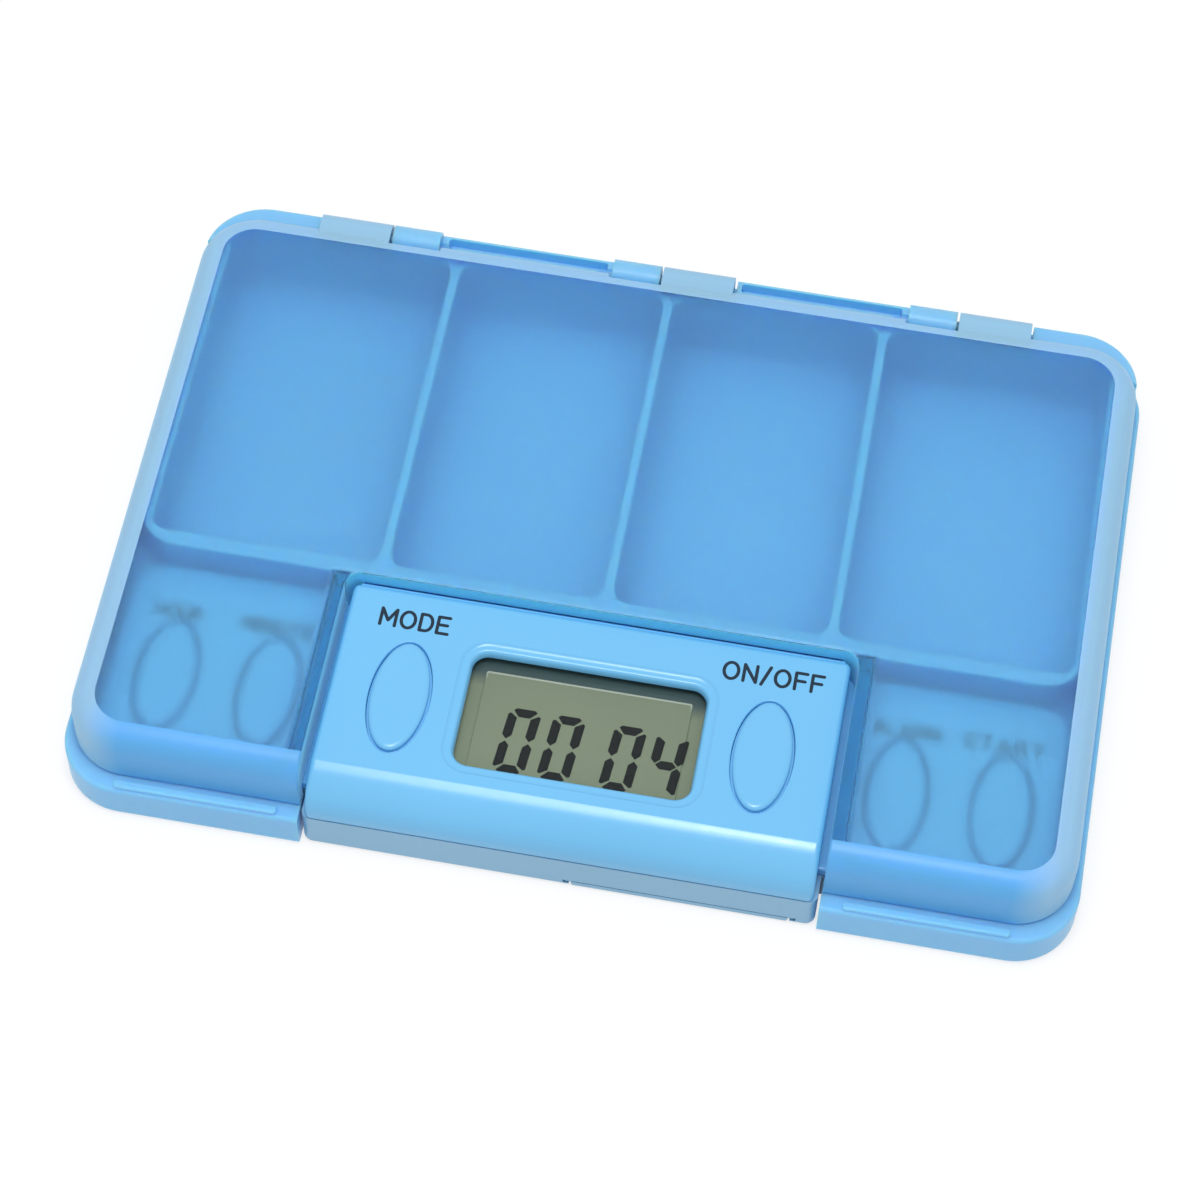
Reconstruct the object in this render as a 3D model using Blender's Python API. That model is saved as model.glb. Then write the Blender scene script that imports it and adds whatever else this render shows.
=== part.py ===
"""Pocket pill organizer with a front timer module.

A shallow tray with four compartments, a frosted lid hinged along the back, and an
alarm timer that fills the front of the tray and shows through a notch in the lid.
Metres, +Z up. The origin is on the resting plane, under the middle of the tray.
X runs along the long side, and the timer faces -Y.
"""

import math

import bmesh
import bpy

MM = 0.001

# Running gaps and cutter overrun
GAP = 0.3 * MM
PIN_CLEARANCE = 0.1 * MM
OVERRUN = 2.0 * MM

# Tray
TRAY_LENGTH = 120.0 * MM
TRAY_DEPTH = 82.3 * MM
TRAY_CORNER = 7.5 * MM
TRAY_FLOOR = 1.2 * MM
TRAY_FOOT_ROUND = 0.8 * MM
LEDGE_Z = 5.6 * MM
LEDGE_ROUND = 0.4 * MM
REAR_BLOCK_DROP = 2.2 * MM
REAR_BLOCK_DEPTH = 6.5 * MM
REAR_BLOCK_SIDE_STEP = 1.1 * MM
REAR_BLOCK_BACK_STEP = 0.1 * MM
REAR_SLOT_WIDTH = 1.3 * MM
REAR_SLOT_DEPTH = 1.5 * MM
REAR_SLOT_RIM = 0.5 * MM
REAR_SLOT_END_GAP = 0.6 * MM
WELL_TOP_GAP = 0.4 * MM
WELL_WALL = 1.4 * MM
WELL_BACK_WALL = 1.5 * MM
WELL_BACK_INSET = 1.0 * MM
WELL_CORNER = 5.0 * MM
WELL_TOP_ROUND = 0.3 * MM
RAIL_WALL = 2.0 * MM
DIVIDER_WALL = 1.2 * MM
DIVIDER_SPACING = 27.0 * MM
COMPARTMENT_CORNER = 2.0 * MM
COMPARTMENT_FOOT_ROUND = 1.0 * MM
CORE_SLOT_WIDTH = 1.6 * MM
CORE_SKIN = 1.3 * MM
CORE_END_MARGIN = 9.0 * MM
RIDGE_END_INSET = 7.4 * MM
RIDGE_WIDTH = 1.0 * MM
RIDGE_HEIGHT = 0.6 * MM
RIDGE_SETBACK = 0.35 * MM

# Lid
LID_HEIGHT = 13.5 * MM
LID_SIDE_STEP = 1.0 * MM
LID_FRONT_STEP = 2.1 * MM
LID_REAR_STEP = 2.3 * MM
LID_WALL = 1.7 * MM
LID_PLATE = 1.4 * MM
LID_CORNER = 7.0 * MM
LID_TOP_ROUND = 3.0 * MM
LID_INNER_ROUND = 0.8 * MM
LID_INNER_CORNER = 2.6 * MM
LID_SIDE_CLEARANCE = 0.4 * MM
LID_SKIRT = 1.5 * MM
NOTCH_CLEARANCE = 0.9 * MM
NOTCH_BACK_STEP = 0.4 * MM
NOTCH_CORNER = 2.0 * MM

# Hinge
HINGE_INSET = 2.1 * MM
HINGE_DROP = 2.1 * MM
KNUCKLE_RADIUS = 1.75 * MM
PIN_RADIUS = 0.6 * MM
PIN_END_INSET = 0.2 * MM
TRAY_KNUCKLE = 6.0 * MM
LID_KNUCKLE = 9.0 * MM
STATION_END_INSET = 15.0 * MM

# Timer casing
PANEL_SIDE_BORDER = 5.05 * MM
MODULE_SETBACK = 0.5 * MM
MODULE_LIFT = 0.3 * MM
MODULE_BACK_STEP = 1.0 * MM
MODULE_EDGE_ROUND = 0.7 * MM
BOTTOM_SHELL_STEP = 0.5 * MM
BAY_BACK_MARGIN = 0.5 * MM
POCKET_FLOOR = 1.0 * MM
POCKET_FRONT_WALL = 3.9 * MM
POCKET_SIDE_WALL = 3.2 * MM
POCKET_CORNER = 4.5 * MM
SHELL_WALL = 1.2 * MM
WING_FLOOR = 0.8 * MM
CENTRE_FLOOR = 1.0 * MM
DECK_PLATE = 1.2 * MM
DECK_ROUND = 0.3 * MM
PANEL_PLATE = 1.2 * MM
CREASE_SETBACK = 4.75 * MM
NOSE_RISE = 0.8 * MM
CREASE_ANGLE = 75.0
BOSS_RADIUS = 2.1 * MM
PILOT_RADIUS = 1.0 * MM
SOUND_HOLE_RADIUS = 0.6 * MM
SOUND_HOLE_RING = 3.0 * MM

# Buttons
BUTTON_WIDTH = 6.7 * MM
BUTTON_LENGTH = 14.4 * MM
BUTTON_BACK_SHIFT = 0.3 * MM
BUTTON_PROUD = 0.5 * MM
BUTTON_CROWN = 0.45 * MM
BUTTON_FLANGE = 0.8 * MM
BUTTON_FLANGE_THICKNESS = 0.5 * MM
BUTTON_TRAVEL = 0.6 * MM
BUTTON_STEM_RADIUS = 1.5 * MM
DECK_STEM_LENGTH = 0.3 * MM
PANEL_BUTTON_GAP = 0.55 * MM
DECK_BUTTON_WIDTH_SHARE = 0.2757
INNER_BUTTON_SHARE = 0.21
OUTER_BUTTON_SHARE = 0.716

# Display
WINDOW_WIDTH = 27.6 * MM
WINDOW_DEPTH = 14.3 * MM
WINDOW_BORDER = 2.3 * MM
WINDOW_CORNER = 1.6 * MM
WINDOW_BEVEL = 0.9 * MM
LENS_THICKNESS = 0.75 * MM
LENS_MARGIN = 1.6 * MM
LENS_CORNER = 1.0 * MM
GLASS_THICKNESS = 1.1 * MM
GLASS_BACK_MARGIN = 2.6 * MM
HOLDER_WALL = 1.1 * MM
HOLDER_FLOOR = 1.2 * MM
HOLDER_RIM = 1.2 * MM
HOLDER_STANDOFF = 4.05 * MM
ZEBRA_LENGTH = 24.0 * MM
ZEBRA_WIDTH = 1.6 * MM
ZEBRA_CLEARANCE = 0.2 * MM

# Board and what is on it
BOARD_THICKNESS = 0.8 * MM
BOARD_END_GAP = 1.3 * MM
BOARD_WING_FRONT = 10.0 * MM
BOARD_FRONT = 3.5 * MM
BOARD_SIDE_GAP = 1.6 * MM
BOARD_BOSS_GAP = 0.4 * MM
BOARD_TAB_MARGIN = 1.35 * MM
BOARD_TAB_HALF = 17.0 * MM
BOARD_NOTCH_MARGIN = 0.9 * MM
SEAT_GAP = 0.1 * MM
PAD_THICKNESS = 0.4 * MM
PAD_HALF_WIDTH = 2.5 * MM
PAD_END_MARGIN = 1.5 * MM
PAD_BAY_GAP = 0.8 * MM
DOME_RADIUS = 2.2 * MM
DOME_HEIGHT = 0.7 * MM
DOME_TAPER = 0.5 * MM
BLOB_GAP = 3.4 * MM
BLOB_Y = 13.0 * MM
BLOB_RADIUS = 4.5 * MM
BLOB_HEIGHT = 1.5 * MM
CRYSTAL_GAP = 2.0 * MM
CRYSTAL_LENGTH = 6.0 * MM
CRYSTAL_RADIUS = 1.0 * MM
BUZZER_X = -14.0 * MM
BUZZER_Y = 15.0 * MM
BUZZER_RADIUS = 9.0 * MM
BUZZER_GAP = 0.5 * MM
BUZZER_THICKNESS = 0.3 * MM
CERAMIC_RADIUS = 6.5 * MM
CERAMIC_THICKNESS = 0.15 * MM

# Batteries and their door
CELL_RADIUS = 5.8 * MM
CELL_HEIGHT = 3.05 * MM
CELL_GAP = 0.6 * MM
CELL_EDGE_ROUND = 0.3 * MM
CELL_FRONT_MARGIN = 0.8 * MM
CELL_CLEARANCE = 0.3 * MM
BAY_WALL_HEIGHT = 3.2 * MM
BAY_WALL = 0.9 * MM
DOOR_MARGIN = 0.6 * MM
DOOR_BACK_MARGIN = 0.9 * MM
DOOR_THICKNESS = 0.8 * MM
DOOR_CLEARANCE = 0.2 * MM
DOOR_TONGUE = 0.7 * MM
DOOR_TONGUE_THICKNESS = 0.35 * MM
GRIP_SPACING = 1.4 * MM
GRIP_LENGTH = 9.0 * MM
GRIP_WIDTH = 0.5 * MM
GRIP_DEPTH = 0.25 * MM
GRIP_Y = 6.0 * MM
GRIP_COUNT = 4
CONTACT_THICKNESS = 0.2 * MM
CONTACT_WIDTH = 3.8 * MM
CONTACT_REACH = 9.0 * MM
CONTACT_LEG_INSET = 0.5 * MM
POSITIVE_CONTACT_SHIFT = -6.4 * MM
NEGATIVE_CONTACT_SHIFT = 0.8 * MM
BRIDGE_WIDTH = 4.4 * MM
BRIDGE_DEPTH = 0.45 * MM

# Screws
SCREW_RADIUS = 0.9 * MM
SCREW_HEAD_RADIUS = 1.6 * MM
SCREW_HEAD = 0.8 * MM
SCREW_DRIVE_WIDTH = 0.5 * MM
SCREW_DRIVE_DEPTH = 0.4 * MM
SCREW_CLEARANCE = 0.2 * MM
SCREW_DRIVE_SHARE = 0.6
CASE_SCREW_INSET = 4.0 * MM
CASE_SCREW_GAP = 0.7 * MM
CASE_SCREW_LENGTH = 6.0 * MM
CASE_BOSS_HEIGHT = 2.3 * MM
TRAY_SCREW_STEP = 0.6 * MM
TRAY_SCREW_LENGTH = 4.4 * MM
TRAY_PAD_HEIGHT = 2.0 * MM
TRAY_PAD_RADIUS = 2.6 * MM
SEAT_THICKNESS = 0.9 * MM
BOARD_SCREW_RADIUS = 0.6 * MM
BOARD_SCREW_HEAD_RADIUS = 1.2 * MM
BOARD_SCREW_HEAD = 0.6 * MM
BOARD_SCREW_LENGTH = 2.2 * MM
BOARD_BOSS_RADIUS = 1.8 * MM
BOARD_SCREW_SHIFT = 1.5 * MM
BOARD_SCREW_GAP = 3.3 * MM

# Facets
CORNER_STEPS = 6
ROUND_STEPS = 3
SMALL_STEPS = 2
OVAL_STEPS = 32
CIRCLE_STEPS = 24
PIN_STEPS = 16
SHARP_ANGLE = math.radians(35.0)

# Heights that follow from the sizes above, from the rest plane up
LID_BOTTOM_Z = LEDGE_Z + GAP
LID_CEILING_Z = LID_HEIGHT - LID_PLATE
REAR_BLOCK_Z = LID_HEIGHT - REAR_BLOCK_DROP
WELL_TOP_Z = LID_CEILING_Z - WELL_TOP_GAP
HINGE_Z = LID_HEIGHT - HINGE_DROP
WING_FLOOR_Z = POCKET_FLOOR + GAP
WING_FLOOR_TOP_Z = WING_FLOOR_Z + WING_FLOOR
CENTRE_FLOOR_TOP_Z = MODULE_LIFT + CENTRE_FLOOR
BOARD_Z = WING_FLOOR_TOP_Z + GAP
BOARD_TOP_Z = BOARD_Z + BOARD_THICKNESS
PAD_Z = BOARD_TOP_Z + SEAT_GAP
PAD_TOP_Z = PAD_Z + PAD_THICKNESS
DOME_TOP_Z = PAD_TOP_Z + DOME_HEIGHT
STEM_END_Z = DOME_TOP_Z + SEAT_GAP + BUTTON_TRAVEL
DECK_UNDER_Z = STEM_END_Z + DECK_STEM_LENGTH + BUTTON_FLANGE_THICKNESS + GAP
DECK_Z = DECK_UNDER_Z + DECK_PLATE
PARTING_Z = DECK_UNDER_Z - GAP
HOLDER_Z = BOARD_TOP_Z + HOLDER_STANDOFF
GLASS_Z = HOLDER_Z + HOLDER_FLOOR + SEAT_GAP
GLASS_TOP_Z = GLASS_Z + GLASS_THICKNESS
LENS_Z = GLASS_TOP_Z + GAP
LENS_TOP_Z = LENS_Z + LENS_THICKNESS
HOLDER_TOP_Z = LENS_Z - SEAT_GAP
PANEL_UNDER_Z = LENS_TOP_Z + SEAT_GAP
PANEL_Z = PANEL_UNDER_Z + PANEL_PLATE
DOOR_Z = MODULE_LIFT
DOOR_TOP_Z = DOOR_Z + DOOR_THICKNESS
TONGUE_Z = DOOR_TOP_Z - DOOR_TONGUE_THICKNESS
CELL_Z = DOOR_TOP_Z + CELL_CLEARANCE
CELL_TOP_Z = CELL_Z + CELL_HEIGHT
RECESS_TOP_Z = DOOR_TOP_Z + DOOR_CLEARANCE
BAY_BLOCK_TOP_Z = RECESS_TOP_Z + BAY_WALL_HEIGHT
CONTACT_Z = CELL_TOP_Z + DOOR_CLEARANCE

# Half widths and places across, from the display outwards
GLASS_HALF = WINDOW_WIDTH / 2 + LENS_MARGIN
HOLDER_HALF = GLASS_HALF + ZEBRA_CLEARANCE + HOLDER_WALL
PANEL_BUTTON_X = HOLDER_HALF + PANEL_BUTTON_GAP + BUTTON_FLANGE + BUTTON_WIDTH / 2
MODULE_HALF_WIDTH = PANEL_BUTTON_X + BUTTON_WIDTH / 2 + PANEL_SIDE_BORDER
BOTTOM_HALF = MODULE_HALF_WIDTH + BOTTOM_SHELL_STEP
BAY_HALF = BOTTOM_HALF + GAP
NOTCH_HALF = MODULE_HALF_WIDTH + NOTCH_CLEARANCE
CASE_SCREW_X = MODULE_HALF_WIDTH - CASE_SCREW_INSET
CELL_SPACING = 2 * CELL_RADIUS + CELL_GAP
DOOR_HALF = CELL_SPACING / 2 + CELL_RADIUS + CELL_CLEARANCE + DOOR_MARGIN
TONGUE_HALF = DOOR_HALF + DOOR_TONGUE
BAY_BLOCK_HALF = TONGUE_HALF + DOOR_CLEARANCE + BAY_WALL
BATTERY_X = BOTTOM_HALF - SHELL_WALL - SEAT_GAP - BAY_BLOCK_HALF
BRIDGE_LENGTH = CELL_SPACING + CELL_RADIUS
POSITIVE_CONTACT_X = BATTERY_X + POSITIVE_CONTACT_SHIFT
NEGATIVE_CONTACT_X = BATTERY_X + NEGATIVE_CONTACT_SHIFT
BOARD_NOTCH_X = BATTERY_X - BAY_BLOCK_HALF - BOARD_NOTCH_MARGIN
BOARD_LEFT = BOTTOM_HALF - SHELL_WALL - BOARD_SIDE_GAP
BLOB_X = BOARD_NOTCH_X - BLOB_GAP - BLOB_RADIUS
CRYSTAL_X = BLOB_X - BLOB_RADIUS - CRYSTAL_GAP - CRYSTAL_LENGTH / 2
PAD_INNER_X = PANEL_BUTTON_X - DOME_RADIUS - PAD_END_MARGIN
HALF_LENGTH = TRAY_LENGTH / 2
LID_HALF = HALF_LENGTH - LID_SIDE_STEP
WELL_HALF = LID_HALF - LID_WALL - LID_SIDE_CLEARANCE
WING_HALF = HALF_LENGTH - POCKET_SIDE_WALL - GAP
SKIRT_HALF = NOTCH_HALF + LID_SKIRT
DECK_SPAN = WING_HALF - SKIRT_HALF
DECK_BUTTON_WIDTH = DECK_SPAN * DECK_BUTTON_WIDTH_SHARE
INNER_BUTTON_X = SKIRT_HALF + DECK_SPAN * INNER_BUTTON_SHARE
OUTER_BUTTON_X = SKIRT_HALF + DECK_SPAN * OUTER_BUTTON_SHARE
TRAY_SCREW_X = (BOTTOM_HALF + WING_HALF) / 2
BOARD_HALF_LENGTH = WING_HALF - SHELL_WALL - BOARD_END_GAP
RIDGE_INNER = BAY_HALF + TRAY_PAD_RADIUS
RIDGE_OUTER = HALF_LENGTH - RIDGE_END_INSET
STATION_LENGTH = TRAY_KNUCKLE + GAP + LID_KNUCKLE
STATION_SPACING = HALF_LENGTH - STATION_END_INSET - STATION_LENGTH / 2

# Places from the front lip back
FRONT = -TRAY_DEPTH / 2
BACK = TRAY_DEPTH / 2
SHELL_FRONT = FRONT + MODULE_SETBACK
WINDOW_YS = SHELL_FRONT + CREASE_SETBACK + WINDOW_BORDER + WINDOW_DEPTH / 2
GLASS_FRONT = WINDOW_YS - WINDOW_DEPTH / 2 - LENS_MARGIN
GLASS_BACK = WINDOW_YS + WINDOW_DEPTH / 2 + GLASS_BACK_MARGIN
HOLDER_FRONT = GLASS_FRONT - ZEBRA_CLEARANCE - HOLDER_WALL
HOLDER_BACK = GLASS_BACK + ZEBRA_CLEARANCE + HOLDER_WALL
ZEBRA_BACK = GLASS_BACK - ZEBRA_CLEARANCE
ZEBRA_FRONT = ZEBRA_BACK - ZEBRA_WIDTH
BUTTON_YS = WINDOW_YS + BUTTON_BACK_SHIFT
CASE_SCREW_YS = BUTTON_YS + BUTTON_LENGTH / 2 + BUTTON_FLANGE + BOSS_RADIUS + CASE_SCREW_GAP
TRAY_SCREW_YS = CASE_SCREW_YS + TRAY_SCREW_STEP
RAIL_FRONT = CASE_SCREW_YS + TRAY_PAD_RADIUS + BAY_BACK_MARGIN + SHELL_WALL + GAP
RAIL_BACK = RAIL_FRONT + RAIL_WALL
WING_FRONT = FRONT + POCKET_FRONT_WALL + GAP
WING_BACK = RAIL_FRONT - GAP
SHELL_BACK = RAIL_FRONT - MODULE_BACK_STEP
NOTCH_BACK = RAIL_FRONT - NOTCH_BACK_STEP
CELL_YS = SHELL_FRONT + SHELL_WALL + CELL_FRONT_MARGIN + CELL_CLEARANCE + CELL_RADIUS
DOOR_FRONT = SHELL_FRONT
DOOR_BACK = CELL_YS + CELL_RADIUS + CELL_CLEARANCE + DOOR_BACK_MARGIN
BAY_BLOCK_BACK = DOOR_BACK + DOOR_CLEARANCE + BAY_WALL
CONTACT_YS = BAY_BLOCK_BACK + PAD_BAY_GAP + PAD_HALF_WIDTH
BOARD_BACK = CASE_SCREW_YS - TRAY_PAD_RADIUS - BOARD_BOSS_GAP
BOARD_TAB_BACK = GLASS_BACK + BOARD_TAB_MARGIN
BUZZER_REACH = (BUZZER_RADIUS + BUZZER_GAP + BOARD_BOSS_RADIUS) / math.sqrt(2)
BOARD_SCREW_PLACES = (
    (BUZZER_X - BUZZER_REACH, FRONT + BUZZER_Y - BUZZER_REACH),
    (BATTERY_X + BOARD_SCREW_SHIFT, BAY_BLOCK_BACK + BOARD_SCREW_GAP),
)
LID_FRONT = FRONT + LID_FRONT_STEP
LID_BACK = BACK - LID_REAR_STEP
WELL_BACK = LID_BACK - WELL_BACK_INSET
REAR_BLOCK_FRONT = BACK - REAR_BLOCK_DEPTH
REAR_BLOCK_BACK = BACK - REAR_BLOCK_BACK_STEP
HINGE_Y = BACK - HINGE_INSET


def clear_scene():
    """Start from an empty scene."""
    for item in list(bpy.data.objects):
        bpy.data.objects.remove(item, do_unlink=True)


def material(name, color, roughness, metallic=0.0, alpha=1.0):
    """A Principled material with the piece's colour."""
    made = bpy.data.materials.new(name)
    made.use_nodes = True
    shader = made.node_tree.nodes["Principled BSDF"]
    shader.inputs["Base Color"].default_value = (*color, 1.0)
    shader.inputs["Roughness"].default_value = roughness
    shader.inputs["Metallic"].default_value = metallic
    shader.inputs["Alpha"].default_value = alpha
    made.diffuse_color = (*color, alpha)
    return made


def add_object(name, bm, finish=None):
    """Turn a bmesh into a smooth-shaded object in the scene."""
    bmesh.ops.recalc_face_normals(bm, faces=bm.faces)
    mesh = bpy.data.meshes.new(name)
    bm.to_mesh(mesh)
    bm.free()
    mesh.shade_smooth()
    mesh.set_sharp_from_angle(angle=SHARP_ANGLE)
    made = bpy.data.objects.new(name, mesh)
    bpy.context.scene.collection.objects.link(made)
    if finish is not None:
        mesh.materials.append(finish)
    return made


def boolean(target, bm, operation, label):
    """Cut a shape out of the target, or join it on, with a hidden tool."""
    tool = add_object(f"{target.name}.{label}", bm)
    tool.hide_render = True
    tool.display_type = "WIRE"
    step = target.modifiers.new(label, "BOOLEAN")
    step.operation = operation
    step.solver = "EXACT"
    step.object = tool


def cut(target, bm, label):
    boolean(target, bm, "DIFFERENCE", label)


def join(target, bm, label):
    boolean(target, bm, "UNION", label)


def loft(loops):
    """A closed solid through loops of equal length, capped at both ends."""
    bm = bmesh.new()
    rings = [[bm.verts.new(point) for point in loop] for loop in loops]
    for low, high in zip(rings, rings[1:]):
        for i in range(len(low)):
            j = (i + 1) % len(low)
            bm.faces.new((low[i], low[j], high[j], high[i]))
    bm.faces.new(list(reversed(rings[0])))
    bm.faces.new(rings[-1])
    return bm


def rounded_rect(x0, x1, y0, y1, radius, steps=CORNER_STEPS):
    """Counter-clockwise outline of a rectangle with round corners."""
    corners = (
        (x1 - radius, y0 + radius, -90.0),
        (x1 - radius, y1 - radius, 0.0),
        (x0 + radius, y1 - radius, 90.0),
        (x0 + radius, y0 + radius, 180.0),
    )
    points = []
    for cx, cy, start in corners:
        for i in range(steps + 1):
            angle = math.radians(start + 90.0 * i / steps)
            points.append((cx + radius * math.cos(angle), cy + radius * math.sin(angle)))
    return points


def rounded_block(x0, x1, y0, y1, z0, z1, radius, top=0.0, bottom=0.0):
    """A block with round corners in plan and rounded top or bottom edges."""
    profile = []
    if bottom:
        for i in range(ROUND_STEPS + 1):
            angle = math.pi / 2 * i / ROUND_STEPS
            profile.append((bottom * (1 - math.sin(angle)), z0 + bottom * (1 - math.cos(angle))))
    else:
        profile.append((0.0, z0))
    if top:
        for i in range(ROUND_STEPS + 1):
            angle = math.pi / 2 * i / ROUND_STEPS
            profile.append((top * (1 - math.cos(angle)), z1 - top * (1 - math.sin(angle))))
    else:
        profile.append((0.0, z1))
    loops = []
    for inset, z in profile:
        outline = rounded_rect(x0 + inset, x1 - inset, y0 + inset, y1 - inset, radius - inset)
        loops.append([(x, y, z) for x, y in outline])
    return loft(loops)


def box(x0, x1, y0, y1, z0, z1):
    outline = ((x0, y0), (x1, y0), (x1, y1), (x0, y1))
    return loft([[(x, y, z) for x, y in outline] for z in (z0, z1)])


def prism(outline, z0, z1):
    return loft([[(x, y, z) for x, y in outline] for z in (z0, z1)])


def disc(x, y, sections, steps=CIRCLE_STEPS):
    """A turned solid on a vertical axis; sections are (radius, z) from low to high."""
    loops = []
    for radius, z in sections:
        angles = [2 * math.pi * i / steps for i in range(steps)]
        loops.append([(x + radius * math.cos(a), y + radius * math.sin(a), z) for a in angles])
    return loft(loops)


def rod(x0, x1, y, z, radius, steps=PIN_STEPS):
    """A round rod along X."""
    angles = [2 * math.pi * i / steps for i in range(steps)]
    loops = []
    for x in (x0, x1):
        loops.append([(x, y + radius * math.cos(a), z + radius * math.sin(a)) for a in angles])
    return loft(loops)


def oval(x, y, sections):
    """An elliptical solid; sections are (half width, half length, z) from low to high."""
    loops = []
    for half_width, half_length, z in sections:
        loop = []
        for i in range(OVAL_STEPS):
            angle = 2 * math.pi * i / OVAL_STEPS
            loop.append((x + half_width * math.cos(angle), y + half_length * math.sin(angle), z))
        loops.append(loop)
    return loft(loops)


def stations():
    """The hinge stations: start of the tray knuckle and start of the lid knuckle."""
    left = -STATION_SPACING - STATION_LENGTH / 2
    yield left + LID_KNUCKLE + GAP, left
    for centre in (0.0, STATION_SPACING):
        start = centre - STATION_LENGTH / 2
        yield start, start + TRAY_KNUCKLE + GAP


def compartments():
    """X limits of the four compartments."""
    inner = WELL_HALF - WELL_WALL
    walls = [-DIVIDER_SPACING, 0.0, DIVIDER_SPACING]
    starts = [-inner] + [x + DIVIDER_WALL / 2 for x in walls]
    ends = [x - DIVIDER_WALL / 2 for x in walls] + [inner]
    return list(zip(starts, ends))


def build_tray(finish):
    """The tray: body, rear block, compartment wells, module bay and hinge knuckles."""
    tray = add_object(
        "base_tray",
        rounded_block(
            -HALF_LENGTH, HALF_LENGTH, FRONT, BACK, 0.0, LEDGE_Z,
            TRAY_CORNER, top=LEDGE_ROUND, bottom=TRAY_FOOT_ROUND,
        ),
        finish,
    )
    join(tray, rear_block(), "rear_block")
    well = rounded_block(
        -WELL_HALF, WELL_HALF, RAIL_FRONT, WELL_BACK, TRAY_FLOOR, WELL_TOP_Z,
        WELL_CORNER, top=WELL_TOP_ROUND,
    )
    join(tray, well, "well")
    well_back = WELL_BACK - WELL_BACK_WALL
    for number, (x0, x1) in enumerate(compartments()):
        pocket = rounded_block(
            x0, x1, RAIL_BACK, well_back, TRAY_FLOOR, WELL_TOP_Z + OVERRUN,
            COMPARTMENT_CORNER, bottom=COMPARTMENT_FOOT_ROUND,
        )
        cut(tray, pocket, f"compartment_{number}")
    pocket_half = HALF_LENGTH - POCKET_SIDE_WALL
    bay = rounded_block(
        -pocket_half, pocket_half, FRONT + POCKET_FRONT_WALL, RAIL_FRONT,
        POCKET_FLOOR, WELL_TOP_Z + OVERRUN, POCKET_CORNER,
    )
    cut(tray, bay, "pocket")
    through = box(-BAY_HALF, BAY_HALF, FRONT - OVERRUN, RAIL_FRONT, -OVERRUN, WELL_TOP_Z + OVERRUN)
    cut(tray, through, "bay")
    add_core_slots(tray)
    add_rear_slots(tray)
    add_ridges(tray)
    for side in (-1, 1):
        x = side * TRAY_SCREW_X
        y = TRAY_SCREW_YS
        join(tray, disc(x, y, ((TRAY_PAD_RADIUS, POCKET_FLOOR / 2), (TRAY_PAD_RADIUS, TRAY_PAD_HEIGHT))),
             f"screw_pad_{side}")
        cut_screw_seat(tray, x, y, TRAY_PAD_HEIGHT - SEAT_THICKNESS, TRAY_PAD_HEIGHT + OVERRUN, side)
    add_tray_knuckles(tray)


def rear_block():
    """The block along the tray's rear that carries the hinge, with round rear corners."""
    loops = [(0.0, LEDGE_Z / 2)]
    for i in range(ROUND_STEPS + 1):
        angle = math.pi / 2 * i / ROUND_STEPS
        loops.append((LEDGE_ROUND * (1 - math.cos(angle)), REAR_BLOCK_Z - LEDGE_ROUND * (1 - math.sin(angle))))
    centre_x = HALF_LENGTH - REAR_BLOCK_SIDE_STEP - TRAY_CORNER
    centre_y = REAR_BLOCK_BACK - TRAY_CORNER
    solid = []
    for inset, z in loops:
        radius = TRAY_CORNER - inset
        start = math.asin((REAR_BLOCK_FRONT + inset - centre_y) / radius)
        arc = []
        for i in range(CORNER_STEPS + 1):
            angle = start + (math.pi / 2 - start) * i / CORNER_STEPS
            arc.append((centre_x + radius * math.cos(angle), centre_y + radius * math.sin(angle)))
        outline = arc + [(-x, y) for x, y in reversed(arc)]
        solid.append([(x, y, z) for x, y in outline])
    return loft(solid)


def add_rear_slots(tray):
    """Slots in the rear block's top, between the hinge stations."""
    starts = [min(places) for places in stations()]
    y1 = REAR_BLOCK_BACK - REAR_SLOT_RIM
    for number, (before, after) in enumerate(zip(starts, starts[1:])):
        slot = rounded_rect(
            before + STATION_LENGTH + GAP + REAR_SLOT_END_GAP, after - GAP - REAR_SLOT_END_GAP,
            y1 - REAR_SLOT_WIDTH, y1, REAR_SLOT_WIDTH / 4, ROUND_STEPS,
        )
        cut(tray, prism(slot, REAR_BLOCK_Z - REAR_SLOT_DEPTH, REAR_BLOCK_Z + OVERRUN), f"rear_slot_{number}")


def add_core_slots(tray):
    """Slots under the thick side and rear walls, open below, as moulding needs."""
    half = CORE_SLOT_WIDTH / 2
    roof = LEDGE_Z - CORE_SKIN
    corner = half - SEAT_GAP
    side_x = HALF_LENGTH - CORE_SKIN - half
    for side in (-1, 1):
        x = side * side_x
        outline = rounded_rect(x - half, x + half, RAIL_BACK, BACK - CORE_END_MARGIN, corner, ROUND_STEPS)
        cut(tray, prism(outline, -OVERRUN, roof), f"core_{side}")
    y = BACK - CORE_SKIN - half
    length = HALF_LENGTH - CORE_END_MARGIN
    outline = rounded_rect(-length, length, y - half, y + half, corner, ROUND_STEPS)
    cut(tray, prism(outline, -OVERRUN, roof), "core_back")


def add_ridges(tray):
    """Finger ridges on the front ledge, either side of the module."""
    y0 = FRONT + RIDGE_SETBACK
    for side in (-1, 1):
        ends = sorted((side * RIDGE_INNER, side * RIDGE_OUTER))
        ridge = rounded_block(
            ends[0], ends[1], y0, y0 + RIDGE_WIDTH, LEDGE_Z / 2, LEDGE_Z + RIDGE_HEIGHT,
            RIDGE_WIDTH / 2 - SEAT_GAP, top=RIDGE_WIDTH / 4,
        )
        join(tray, ridge, f"ridge_{side}")


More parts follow.
